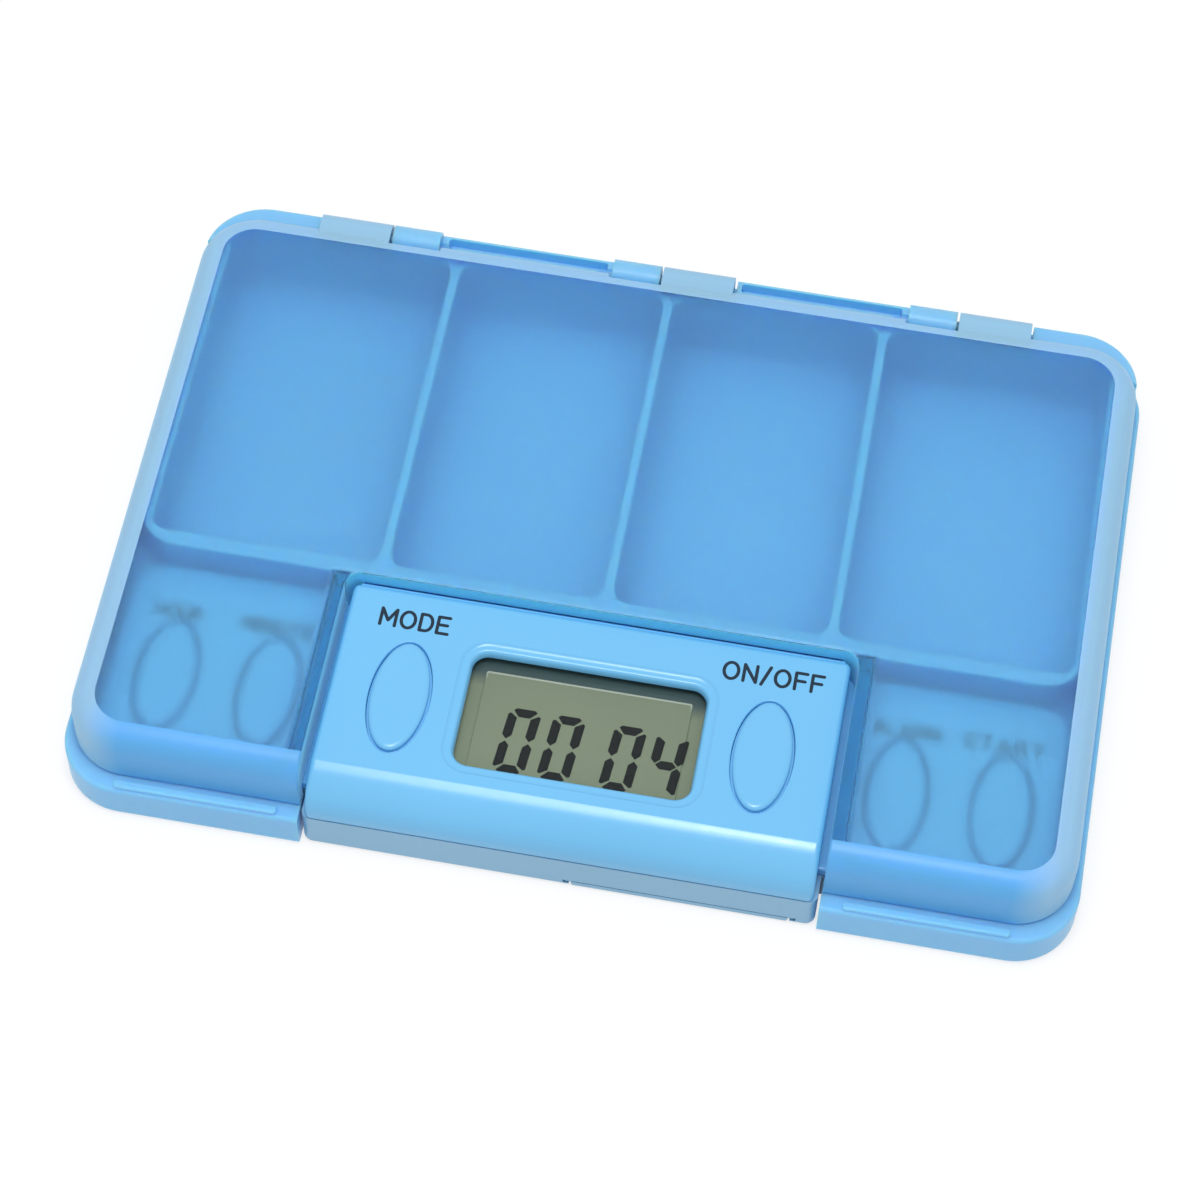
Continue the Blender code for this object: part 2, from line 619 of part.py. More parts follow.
def cut_screw_seat(target, x, y, seat_z, end_z, label):
    """A counterbore from below and a clearance hole above it."""
    bore = disc(x, y, (
        (SCREW_HEAD_RADIUS + SCREW_CLEARANCE, -OVERRUN),
        (SCREW_HEAD_RADIUS + SCREW_CLEARANCE, seat_z),
    ))
    cut(target, bore, f"counterbore_{label}")
    radius = SCREW_RADIUS + SCREW_CLEARANCE
    cut(target, disc(x, y, ((radius, 0.0), (radius, end_z))), f"screw_hole_{label}")


def knuckle_ends(start, length, other_start):
    """Ends of a knuckle, run on towards the other one so that a cut trims it there."""
    if other_start < start:
        return start - GAP, start + length
    return start, start + length + GAP


def add_tray_knuckles(tray):
    """Knuckles that stand on the rear block, and the pockets for the lid's knuckles."""
    swing = KNUCKLE_RADIUS + GAP
    for number, (tray_x, lid_x) in enumerate(stations()):
        start, end = knuckle_ends(tray_x, TRAY_KNUCKLE, lid_x)
        join(tray, rod(start, end, HINGE_Y, HINGE_Z, KNUCKLE_RADIUS, CIRCLE_STEPS), f"knuckle_{number}")
        x0 = lid_x - GAP
        x1 = lid_x + LID_KNUCKLE + GAP
        cut(tray, rod(x0, x1, HINGE_Y, HINGE_Z, swing, CIRCLE_STEPS), f"swing_{number}")
        behind = box(x0, x1, HINGE_Y, BACK + OVERRUN, HINGE_Z - swing, HINGE_Z + swing)
        cut(tray, behind, f"behind_{number}")
        above = box(
            x0, x1, HINGE_Y - swing, HINGE_Y + swing, HINGE_Z, HINGE_Z + swing + OVERRUN,
        )
        cut(tray, above, f"above_{number}")
        bore = rod(
            tray_x - OVERRUN, tray_x + TRAY_KNUCKLE + OVERRUN, HINGE_Y, HINGE_Z,
            PIN_RADIUS + PIN_CLEARANCE,
        )
        cut(tray, bore, f"bore_{number}")


def build_lid(finish):
    """The frosted lid: shell, notch for the module with side skirts, and knuckles."""
    lid = add_object(
        "lid",
        rounded_block(
            -LID_HALF, LID_HALF, LID_FRONT, LID_BACK, LID_BOTTOM_Z, LID_HEIGHT,
            LID_CORNER, top=LID_TOP_ROUND,
        ),
        finish,
    )
    inner_half = LID_HALF - LID_WALL
    floor = LID_BOTTOM_Z - OVERRUN
    rear = rounded_block(
        -inner_half, inner_half, NOTCH_BACK, BACK + TRAY_CORNER, floor, LID_CEILING_Z,
        LID_INNER_CORNER, top=LID_INNER_ROUND,
    )
    cut(lid, rear, "rear_cavity")
    for side in (-1, 1):
        ends = sorted((side * SKIRT_HALF, side * inner_half))
        cavity = rounded_block(
            ends[0], ends[1], LID_FRONT + LID_WALL, RAIL_BACK + LID_INNER_CORNER, floor,
            LID_CEILING_Z, LID_INNER_CORNER, top=LID_INNER_ROUND,
        )
        cut(lid, cavity, f"cavity_{side}")
    end_x = SKIRT_HALF + LID_INNER_CORNER
    skirt_end = box(
        -end_x, end_x, LID_FRONT + LID_WALL, NOTCH_BACK + OVERRUN, floor, DECK_Z + GAP,
    )
    cut(lid, skirt_end, "skirt_ends")
    notch = rounded_block(
        -NOTCH_HALF, NOTCH_HALF, LID_FRONT - OVERRUN - NOTCH_CORNER, NOTCH_BACK, floor,
        LID_HEIGHT + OVERRUN, NOTCH_CORNER,
    )
    cut(lid, notch, "notch")
    rear_relief = box(
        -LID_HALF - OVERRUN, LID_HALF + OVERRUN, REAR_BLOCK_FRONT - 2 * GAP, BACK + OVERRUN,
        floor, REAR_BLOCK_Z + GAP,
    )
    cut(lid, rear_relief, "rear_relief")
    add_lid_knuckles(lid)


def add_lid_knuckles(lid):
    """Knuckles behind the plate, each on a short web, clear of the tray's knuckles."""
    swing = KNUCKLE_RADIUS + GAP
    for number, (tray_x, lid_x) in enumerate(stations()):
        start, end = knuckle_ends(lid_x, LID_KNUCKLE, tray_x)
        web = box(
            start, end, HINGE_Y - KNUCKLE_RADIUS - SEAT_GAP, HINGE_Y,
            LID_CEILING_Z, HINGE_Z + KNUCKLE_RADIUS,
        )
        join(lid, web, f"web_{number}")
        join(lid, rod(start, end, HINGE_Y, HINGE_Z, KNUCKLE_RADIUS, CIRCLE_STEPS), f"knuckle_{number}")
        relief = box(
            tray_x - GAP, tray_x + TRAY_KNUCKLE + GAP, HINGE_Y - swing, BACK + OVERRUN,
            HINGE_Z - swing, LID_HEIGHT + OVERRUN,
        )
        cut(lid, relief, f"relief_{number}")
        bore = rod(
            lid_x - OVERRUN, lid_x + LID_KNUCKLE + OVERRUN, HINGE_Y, HINGE_Z,
            PIN_RADIUS + PIN_CLEARANCE,
        )
        cut(lid, bore, f"bore_{number}")


def build_pins(finish):
    for place, (tray_x, lid_x) in zip(("left", "centre", "right"), stations()):
        start = min(tray_x, lid_x) + PIN_END_INSET
        end = start + STATION_LENGTH - 2 * PIN_END_INSET
        add_object(f"hinge_pin_{place}", rod(start, end, HINGE_Y, HINGE_Z, PIN_RADIUS), finish)


def nose_profile(inset, bottom_z):
    """Side outline of the raised centre: flat panel, crease, and round nose."""
    front = SHELL_FRONT + inset
    nose_z = DECK_UNDER_Z + NOSE_RISE
    turn = math.radians(CREASE_ANGLE)
    depth = (CREASE_SETBACK - inset) / (1 - math.cos(turn))
    height = (PANEL_Z - inset - nose_z) / math.sin(turn)
    back = SHELL_BACK - inset
    top = PANEL_Z - inset
    points = [(back, bottom_z)]
    for i in range(SMALL_STEPS + 1):
        angle = math.pi / 2 * i / SMALL_STEPS
        points.append((
            back - MODULE_EDGE_ROUND * (1 - math.cos(angle)),
            top - MODULE_EDGE_ROUND * (1 - math.sin(angle)),
        ))
    steps = CORNER_STEPS + SMALL_STEPS
    for i in range(steps + 1):
        angle = turn * (1 - i / steps)
        points.append((front + depth * (1 - math.cos(angle)), nose_z + height * math.sin(angle)))
    points.append((front, bottom_z))
    return points


def build_top_shell(finish):
    """The timer's upper casing: raised centre, side decks, bosses and openings."""
    left = []
    for i in range(ROUND_STEPS + 1):
        angle = math.pi / 2 * i / ROUND_STEPS
        x = MODULE_HALF_WIDTH - MODULE_EDGE_ROUND * (1 - math.cos(angle))
        left.append((x, nose_profile(MODULE_EDGE_ROUND * (1 - math.sin(angle)), DECK_UNDER_Z)))
    loops = [[(-x, y, z) for y, z in outline] for x, outline in left]
    loops += [[(x, y, z) for y, z in outline] for x, outline in reversed(left)]
    shell = add_object("timer_top_shell", loft(loops), finish)
    deck = rounded_block(
        -WING_HALF, WING_HALF, WING_FRONT, WING_BACK, DECK_UNDER_Z, DECK_Z,
        POCKET_CORNER - GAP, top=DECK_ROUND,
    )
    join(shell, deck, "deck")
    inner = MODULE_HALF_WIDTH - SHELL_WALL
    outline = nose_profile(PANEL_PLATE, DECK_UNDER_Z - OVERRUN)
    cut(shell, loft([[(x, y, z) for y, z in outline] for x in (-inner, inner)]), "hollow")
    window_x = WINDOW_WIDTH / 2
    window_y = WINDOW_DEPTH / 2
    sections = (
        (0.0, PANEL_UNDER_Z - OVERRUN),
        (0.0, PANEL_Z - WINDOW_BEVEL),
        (WINDOW_BEVEL, PANEL_Z),
        (WINDOW_BEVEL, PANEL_Z + OVERRUN),
    )
    opening = []
    for spread, z in sections:
        outline = rounded_rect(
            -window_x - spread, window_x + spread, WINDOW_YS - window_y - spread,
            WINDOW_YS + window_y + spread, WINDOW_CORNER + spread,
        )
        opening.append([(x, y, z) for x, y in outline])
    cut(shell, loft(opening), "window")
    for name, x, width, plate_z, under_z in button_places():
        half_width = width / 2 + GAP
        half_length = BUTTON_LENGTH / 2 + GAP
        hole = oval(x, BUTTON_YS, (
            (half_width, half_length, under_z - OVERRUN),
            (half_width, half_length, plate_z + OVERRUN),
        ))
        cut(shell, hole, f"hole_{name}")
    for side in (-1, 1):
        low = MODULE_LIFT + CASE_BOSS_HEIGHT + GAP
        add_boss(shell, side * CASE_SCREW_X, CASE_SCREW_YS, low, PANEL_UNDER_Z, f"case_{side}")
        low = TRAY_PAD_HEIGHT + GAP
        add_boss(shell, side * TRAY_SCREW_X, TRAY_SCREW_YS, low, DECK_UNDER_Z, f"tray_{side}")


def add_boss(shell, x, y, low, high, label):
    """A round boss under a plate, with a blind pilot hole."""
    sink = PANEL_PLATE / 2
    join(shell, disc(x, y, ((BOSS_RADIUS, low), (BOSS_RADIUS, high + sink))), f"boss_{label}")
    pilot = disc(x, y, ((PILOT_RADIUS, low - OVERRUN), (PILOT_RADIUS, high)))
    cut(shell, pilot, f"pilot_{label}")


def build_bottom_shell(finish):
    """The timer's lower casing: centre tray, wings, battery bay and bosses."""
    shell = add_object(
        "timer_bottom_shell",
        rounded_block(
            -BOTTOM_HALF, BOTTOM_HALF, SHELL_FRONT, WING_BACK, MODULE_LIFT, PARTING_Z,
            SHELL_WALL, bottom=SHELL_WALL / 4,
        ),
        finish,
    )
    wings = rounded_block(
        -WING_HALF, WING_HALF, WING_FRONT, WING_BACK, WING_FLOOR_Z, PARTING_Z,
        POCKET_CORNER - GAP,
    )
    join(shell, wings, "wings")
    inner = BOTTOM_HALF - SHELL_WALL
    centre = box(
        -inner, inner, SHELL_FRONT + SHELL_WALL, WING_BACK - SHELL_WALL,
        CENTRE_FLOOR_TOP_Z, PARTING_Z + OVERRUN,
    )
    cut(shell, centre, "centre")
    wing_inner = WING_HALF - SHELL_WALL
    hollow = rounded_block(
        -wing_inner, wing_inner, WING_FRONT + SHELL_WALL, WING_BACK - SHELL_WALL,
        WING_FLOOR_TOP_Z, PARTING_Z + OVERRUN, POCKET_CORNER - GAP - SHELL_WALL,
    )
    cut(shell, hollow, "wing_hollow")
    add_battery_bay(shell)
    for side in (-1, 1):
        x = side * CASE_SCREW_X
        y = CASE_SCREW_YS
        top = MODULE_LIFT + CASE_BOSS_HEIGHT
        boss = disc(x, y, ((TRAY_PAD_RADIUS, MODULE_LIFT + CENTRE_FLOOR / 2), (TRAY_PAD_RADIUS, top)))
        join(shell, boss, f"boss_{side}")
        cut_screw_seat(shell, x, y, top - SEAT_THICKNESS, top + OVERRUN, side)
        passage = TRAY_PAD_RADIUS + GAP
        pad_hole = disc(
            side * TRAY_SCREW_X, TRAY_SCREW_YS,
            ((passage, WING_FLOOR_Z - OVERRUN), (passage, WING_FLOOR_TOP_Z + GAP)),
        )
        cut(shell, pad_hole, f"pad_hole_{side}")
    for number, (x, y) in enumerate(BOARD_SCREW_PLACES):
        floor = CENTRE_FLOOR_TOP_Z - CENTRE_FLOOR / 2
        top = BOARD_Z - SEAT_GAP
        boss = disc(x, y, ((BOARD_BOSS_RADIUS, floor), (BOARD_BOSS_RADIUS, top)))
        join(shell, boss, f"board_boss_{number}")
        radius = BOARD_SCREW_RADIUS + PIN_CLEARANCE
        hole = disc(x, y, ((radius, floor), (radius, top + OVERRUN)), PIN_STEPS)
        cut(shell, hole, f"board_hole_{number}")
    places = [(0.0, 0.0)]
    for i in range(CORNER_STEPS):
        angle = 2 * math.pi * i / CORNER_STEPS
        places.append((SOUND_HOLE_RING * math.cos(angle), SOUND_HOLE_RING * math.sin(angle)))
    for number, (dx, dy) in enumerate(places):
        hole = disc(
            BUZZER_X + dx, FRONT + BUZZER_Y + dy,
            ((SOUND_HOLE_RADIUS, -OVERRUN), (SOUND_HOLE_RADIUS, CENTRE_FLOOR_TOP_Z + GAP)), PIN_STEPS,
        )
        cut(shell, hole, f"sound_{number}")


def add_battery_bay(shell):
    """A walled pocket for the two cells, over a grooved recess for the sliding door."""
    bay = box(
        BATTERY_X - BAY_BLOCK_HALF, BOTTOM_HALF - SHELL_WALL / 2, SHELL_FRONT + SHELL_WALL / 2,
        BAY_BLOCK_BACK, MODULE_LIFT + CENTRE_FLOOR / 2, BAY_BLOCK_TOP_Z,
    )
    join(shell, bay, "battery_bay")
    reach = CELL_RADIUS + CELL_CLEARANCE
    half = CELL_SPACING / 2 + reach
    cavity = rounded_block(
        BATTERY_X - half, BATTERY_X + half, CELL_YS - reach, CELL_YS + reach,
        DOOR_TOP_Z, BAY_BLOCK_TOP_Z + OVERRUN, reach - SEAT_GAP,
    )
    cut(shell, cavity, "cells")
    y1 = DOOR_BACK + DOOR_CLEARANCE
    for label, half, low in (
        ("door_recess", DOOR_HALF + DOOR_CLEARANCE, -OVERRUN),
        ("door_groove", TONGUE_HALF + DOOR_CLEARANCE, TONGUE_Z - DOOR_CLEARANCE),
    ):
        recess = box(
            BATTERY_X - half, BATTERY_X + half, SHELL_FRONT - OVERRUN, y1, low, RECESS_TOP_Z,
        )
        cut(shell, recess, label)


def build_battery_door(finish):
    """The sliding door: plate, side tongues, contact pocket and finger grooves."""
    door = add_object(
        "battery_door",
        box(BATTERY_X - DOOR_HALF, BATTERY_X + DOOR_HALF, DOOR_FRONT, DOOR_BACK, DOOR_Z, DOOR_TOP_Z),
        finish,
    )
    tongues = box(
        BATTERY_X - TONGUE_HALF, BATTERY_X + TONGUE_HALF, DOOR_FRONT + DOOR_CLEARANCE,
        DOOR_BACK - DOOR_CLEARANCE, TONGUE_Z, DOOR_TOP_Z - DOOR_TONGUE_THICKNESS / 8,
    )
    join(door, tongues, "tongues")
    half_x = BRIDGE_LENGTH / 2 + DOOR_CLEARANCE
    half_y = BRIDGE_WIDTH / 2 + DOOR_CLEARANCE
    pocket = box(
        BATTERY_X - half_x, BATTERY_X + half_x, CELL_YS - half_y, CELL_YS + half_y,
        DOOR_TOP_Z - BRIDGE_DEPTH, DOOR_TOP_Z + OVERRUN,
    )
    cut(door, pocket, "bridge_pocket")
    for i in range(GRIP_COUNT):
        y = FRONT + GRIP_Y + i * GRIP_SPACING
        groove = box(
            BATTERY_X - GRIP_LENGTH / 2, BATTERY_X + GRIP_LENGTH / 2, y, y + GRIP_WIDTH,
            DOOR_Z - OVERRUN, DOOR_Z + GRIP_DEPTH,
        )
        cut(door, groove, f"grip_{i}")


def build_batteries(cell_finish, metal):
    """Two button cells, the strip on the door that links them, and two spring contacts."""
    for place, side in (("left", -1), ("right", 1)):
        x = BATTERY_X + side * CELL_SPACING / 2
        inset = CELL_RADIUS - CELL_EDGE_ROUND
        sections = (
            (inset, CELL_Z),
            (CELL_RADIUS, CELL_Z + CELL_EDGE_ROUND),
            (CELL_RADIUS, CELL_TOP_Z - CELL_EDGE_ROUND),
            (inset, CELL_TOP_Z),
        )
        add_object(f"button_cell_{place}", disc(x, CELL_YS, sections), cell_finish)
    low = DOOR_TOP_Z - BRIDGE_DEPTH + SEAT_GAP
    bridge = box(
        BATTERY_X - BRIDGE_LENGTH / 2, BATTERY_X + BRIDGE_LENGTH / 2, CELL_YS - BRIDGE_WIDTH / 2,
        CELL_YS + BRIDGE_WIDTH / 2, low, low + CONTACT_THICKNESS,
    )
    add_object("contact_bridge", bridge, metal)
    leg_y = BAY_BLOCK_BACK + BOARD_NOTCH_MARGIN + CONTACT_LEG_INSET
    start_y = CELL_YS - CONTACT_REACH / 2
    foot_z = BOARD_TOP_Z + SEAT_GAP
    outline = (
        (start_y, CONTACT_Z),
        (leg_y, CONTACT_Z),
        (leg_y, foot_z),
        (leg_y + CONTACT_THICKNESS, foot_z),
        (leg_y + CONTACT_THICKNESS, CONTACT_Z + CONTACT_THICKNESS),
        (start_y, CONTACT_Z + CONTACT_THICKNESS),
    )
    for name, x in (("contact_positive", POSITIVE_CONTACT_X), ("contact_negative", NEGATIVE_CONTACT_X)):
        ends = (x - CONTACT_WIDTH / 2, x + CONTACT_WIDTH / 2)
        add_object(name, loft([[(end, y, z) for y, z in outline] for end in ends]), metal)


def button_places():
    """Each button's name, X and width, and the top and underside of its plate."""
    return (
        ("button_deck_left_outer", -OUTER_BUTTON_X, DECK_BUTTON_WIDTH, DECK_Z, DECK_UNDER_Z),
        ("button_deck_left_inner", -INNER_BUTTON_X, DECK_BUTTON_WIDTH, DECK_Z, DECK_UNDER_Z),
        ("button_panel_left", -PANEL_BUTTON_X, BUTTON_WIDTH, PANEL_Z, PANEL_UNDER_Z),
        ("button_panel_right", PANEL_BUTTON_X, BUTTON_WIDTH, PANEL_Z, PANEL_UNDER_Z),
        ("button_deck_right_inner", INNER_BUTTON_X, DECK_BUTTON_WIDTH, DECK_Z, DECK_UNDER_Z),
        ("button_deck_right_outer", OUTER_BUTTON_X, DECK_BUTTON_WIDTH, DECK_Z, DECK_UNDER_Z),
    )


def build_buttons(finish):
    """Oval caps, each held by a flange under its plate, with a stem over its dome."""
    half_length = BUTTON_LENGTH / 2
    for name, x, width, plate_z, under_z in button_places():
        half_width = width / 2
        flange_top = under_z - GAP
        flange_z = flange_top - BUTTON_FLANGE_THICKNESS
        sections = [
            (half_width + BUTTON_FLANGE, half_length + BUTTON_FLANGE, flange_z),
            (half_width + BUTTON_FLANGE, half_length + BUTTON_FLANGE, flange_top),
            (half_width, half_length, flange_top),
        ]
        base = plate_z + BUTTON_PROUD - BUTTON_CROWN
        for i in range(ROUND_STEPS + 1):
            angle = math.pi / 2 * i / (ROUND_STEPS + 1)
            inset = BUTTON_CROWN * (1 - math.cos(angle))
            sections.append((half_width - inset, half_length - inset, base + BUTTON_CROWN * math.sin(angle)))
        cap = add_object(name, oval(x, BUTTON_YS, sections), finish)
        stem = disc(x, CONTACT_YS, (
            (BUTTON_STEM_RADIUS, STEM_END_Z),
            (BUTTON_STEM_RADIUS, flange_z + BUTTON_FLANGE_THICKNESS / 2),
        ), PIN_STEPS)
        join(cap, stem, "stem")


def build_display(lens_finish, glass_finish, holder_finish, rubber):
    """Clear lens, display glass, its holder, and the rubber strip down to the board."""
    window_x = WINDOW_WIDTH / 2 + LENS_MARGIN
    window_y = WINDOW_DEPTH / 2 + LENS_MARGIN
    lens = rounded_block(
        -window_x, window_x, WINDOW_YS - window_y, WINDOW_YS + window_y,
        LENS_Z, LENS_TOP_Z, LENS_CORNER,
    )
    add_object("lcd_window", lens, lens_finish)
    glass = box(-GLASS_HALF, GLASS_HALF, GLASS_FRONT, GLASS_BACK, GLASS_Z, GLASS_TOP_Z)
    add_object("lcd_panel", glass, glass_finish)
    holder = add_object(
        "lcd_holder",
        box(-HOLDER_HALF, HOLDER_HALF, HOLDER_FRONT, HOLDER_BACK, HOLDER_Z, HOLDER_TOP_Z),
        holder_finish,
    )
    slot_half = ZEBRA_LENGTH / 2 + ZEBRA_CLEARANCE
    slot_front = ZEBRA_FRONT - ZEBRA_CLEARANCE
    slot_back = ZEBRA_BACK + ZEBRA_CLEARANCE
    chimney = box(
        -slot_half - HOLDER_WALL, slot_half + HOLDER_WALL, slot_front - HOLDER_WALL,
        slot_back + HOLDER_WALL, BOARD_TOP_Z + GAP, HOLDER_Z + HOLDER_FLOOR / 2,
    )
    join(holder, chimney, "chimney")
    seat_half = GLASS_HALF + ZEBRA_CLEARANCE
    seat = box(
        -seat_half, seat_half, GLASS_FRONT - ZEBRA_CLEARANCE, GLASS_BACK + ZEBRA_CLEARANCE,
        HOLDER_Z + HOLDER_FLOOR, HOLDER_TOP_Z + OVERRUN,
    )
    cut(holder, seat, "glass_seat")
    light = box(
        -GLASS_HALF + HOLDER_RIM, GLASS_HALF - HOLDER_RIM, GLASS_FRONT + HOLDER_RIM,
        slot_front - HOLDER_WALL - HOLDER_RIM, HOLDER_Z - OVERRUN, HOLDER_TOP_Z,
    )
    cut(holder, light, "opening")
    slot = box(
        -slot_half, slot_half, slot_front, slot_back, BOARD_TOP_Z - OVERRUN, HOLDER_TOP_Z,
    )
    cut(holder, slot, "strip_slot")
    strip = box(
        -ZEBRA_LENGTH / 2, ZEBRA_LENGTH / 2, ZEBRA_FRONT, ZEBRA_BACK,
        BOARD_TOP_Z + SEAT_GAP, GLASS_Z - SEAT_GAP,
    )
    add_object("zebra_connector", strip, rubber)


def build_board(board_finish, chip_finish, metal, brass):
    """The circuit board, the chip under its blob, the crystal and the buzzer."""
    notch_x0 = BOARD_NOTCH_X
    notch_x1 = BOTTOM_HALF + GAP
    notch_y = BAY_BLOCK_BACK + BOARD_NOTCH_MARGIN
    front = FRONT + BOARD_FRONT
    wing_front = FRONT + BOARD_WING_FRONT
    outline = (
        (-BOARD_HALF_LENGTH, wing_front),
        (-BOARD_LEFT, wing_front),
        (-BOARD_LEFT, front),
        (notch_x0, front),
        (notch_x0, notch_y),
        (notch_x1, notch_y),
        (notch_x1, wing_front),
        (BOARD_HALF_LENGTH, wing_front),
        (BOARD_HALF_LENGTH, BOARD_BACK),
        (BOARD_TAB_HALF, BOARD_BACK),
        (BOARD_TAB_HALF, BOARD_TAB_BACK),
        (-BOARD_TAB_HALF, BOARD_TAB_BACK),
        (-BOARD_TAB_HALF, BOARD_BACK),
        (-BOARD_HALF_LENGTH, BOARD_BACK),
    )
    board = add_object("circuit_board", prism(outline, BOARD_Z, BOARD_TOP_Z), board_finish)
    radius = BOARD_SCREW_RADIUS + PIN_CLEARANCE
    for number, (x, y) in enumerate(BOARD_SCREW_PLACES):
        hole = disc(x, y, ((radius, BOARD_Z - OVERRUN), (radius, BOARD_TOP_Z + OVERRUN)), PIN_STEPS)
        cut(board, hole, f"screw_hole_{number}")
    seat = BOARD_TOP_Z + SEAT_GAP
    sections = []
    for i in range(ROUND_STEPS + 1):
        angle = math.pi / 2 * i / (ROUND_STEPS + 1)
        sections.append((BLOB_RADIUS * math.cos(angle), seat + BLOB_HEIGHT * math.sin(angle)))
    add_object("controller_blob", disc(BLOB_X, FRONT + BLOB_Y, sections), chip_finish)
    can = rod(
        CRYSTAL_X - CRYSTAL_LENGTH / 2, CRYSTAL_X + CRYSTAL_LENGTH / 2, FRONT + BLOB_Y,
        seat + CRYSTAL_RADIUS, CRYSTAL_RADIUS,
    )
    add_object("crystal_can", can, metal)
    low = CENTRE_FLOOR_TOP_Z + GAP
    sections = (
        (BUZZER_RADIUS, low),
        (BUZZER_RADIUS, low + BUZZER_THICKNESS),
        (CERAMIC_RADIUS, low + BUZZER_THICKNESS),
        (CERAMIC_RADIUS, low + BUZZER_THICKNESS + CERAMIC_THICKNESS),
    )
    add_object("piezo_buzzer", disc(BUZZER_X, FRONT + BUZZER_Y, sections, OVAL_STEPS), brass)


def build_keypads(rubber):
    """A rubber strip on each side of the board, with one dome under each button."""
    outer = OUTER_BUTTON_X + DOME_RADIUS + GAP
    for place, side in (("left", -1), ("right", 1)):
        ends = sorted((side * PAD_INNER_X, side * outer))
        pad = add_object(
            f"keypad_{place}",
            rounded_block(
                ends[0], ends[1], CONTACT_YS - PAD_HALF_WIDTH, CONTACT_YS + PAD_HALF_WIDTH,
                PAD_Z, PAD_TOP_Z, PAD_HALF_WIDTH / 2,
            ),
            rubber,
        )
        for number, x in enumerate((PANEL_BUTTON_X, INNER_BUTTON_X, OUTER_BUTTON_X)):
            dome = disc(side * x, CONTACT_YS, (
                (DOME_RADIUS, PAD_Z + PAD_THICKNESS / 2),
                (DOME_RADIUS, PAD_TOP_Z),
                (DOME_RADIUS - DOME_TAPER, DOME_TOP_Z),
            ), PIN_STEPS)
            join(pad, dome, f"dome_{number}")


def build_screws(steel):
    """Four casing screws from below, and two board screws from above."""
    lengths = (
        ("case_screw", CASE_SCREW_X, CASE_SCREW_YS, MODULE_LIFT + CASE_BOSS_HEIGHT, CASE_SCREW_LENGTH),
        ("tray_screw", TRAY_SCREW_X, TRAY_SCREW_YS, TRAY_PAD_HEIGHT, TRAY_SCREW_LENGTH),
    )
    for name, x, y, top, length in lengths:
        head_top = top - SEAT_THICKNESS - SEAT_GAP
        head_z = head_top - SCREW_HEAD
        for place, side in (("left", -1), ("right", 1)):
            sections = (
                (SCREW_HEAD_RADIUS, head_z),
                (SCREW_HEAD_RADIUS, head_top),
                (SCREW_RADIUS, head_top),
                (SCREW_RADIUS, head_top + length),
            )
            screw = add_object(f"{name}_{place}", disc(side * x, y, sections, PIN_STEPS), steel)
            cut_drive(screw, side * x, y, head_z - OVERRUN, head_z + SCREW_DRIVE_DEPTH,
                      SCREW_HEAD_RADIUS)
    seat = BOARD_TOP_Z + SEAT_GAP
    for place, (x, y) in zip(("left", "right"), BOARD_SCREW_PLACES):
        sections = (
            (BOARD_SCREW_RADIUS, seat - BOARD_SCREW_LENGTH),
            (BOARD_SCREW_RADIUS, seat),
            (BOARD_SCREW_HEAD_RADIUS, seat),
            (BOARD_SCREW_HEAD_RADIUS, seat + BOARD_SCREW_HEAD),
        )
        add_object(f"board_screw_{place}", disc(x, y, sections, PIN_STEPS), steel)


def cut_drive(screw, x, y, low, high, head_radius):
    """A cross recess in a screw head."""
    reach = head_radius * SCREW_DRIVE_SHARE
    half = SCREW_DRIVE_WIDTH / 2
    cut(screw, box(x - reach, x + reach, y - half, y + half, low, high), "drive_a")
    cut(screw, box(x - half, x + half, y - reach, y + reach, low, high), "drive_b")


def main():
    clear_scene()
    tray_blue = material("tray_blue", (0.16, 0.42, 0.80), 0.35, alpha=0.75)
    lid_blue = material("lid_blue", (0.30, 0.58, 0.90), 0.5, alpha=0.45)
    case_blue = material("case_blue", (0.22, 0.58, 0.92), 0.3)
    strip_blue = material("strip_blue", (0.25, 0.50, 0.78), 0.4)
    clear = material("clear_lens", (0.9, 0.95, 0.95), 0.05, alpha=0.25)
    display = material("display_grey", (0.30, 0.34, 0.28), 0.2)
    white = material("holder_white", (0.85, 0.85, 0.83), 0.5)
    green = material("board_green", (0.03, 0.22, 0.08), 0.4)
    black = material("chip_black", (0.01, 0.01, 0.01), 0.3)
    grey_rubber = material("rubber_grey", (0.25, 0.25, 0.26), 0.8)
    steel = material("steel", (0.62, 0.62, 0.63), 0.3, metallic=1.0)
    brass = material("brass", (0.78, 0.60, 0.28), 0.35, metallic=1.0)
    build_tray(tray_blue)
    build_lid(lid_blue)
    build_pins(tray_blue)
    build_top_shell(case_blue)
    build_bottom_shell(strip_blue)
    build_battery_door(strip_blue)
    build_batteries(steel, steel)
    build_buttons(case_blue)
    build_display(clear, display, white, grey_rubber)
    build_board(green, black, steel, brass)
    build_keypads(grey_rubber)
    build_screws(steel)


main()
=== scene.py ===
"""Looks of the pocket pill organizer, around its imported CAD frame.

Metres, +Z up. X runs along the long side and the timer faces -Y. Depths written as FRONT
plus a length are measured from the tray's front lip.
"""

import math

import bmesh
import bpy
from mathutils import Matrix, Vector


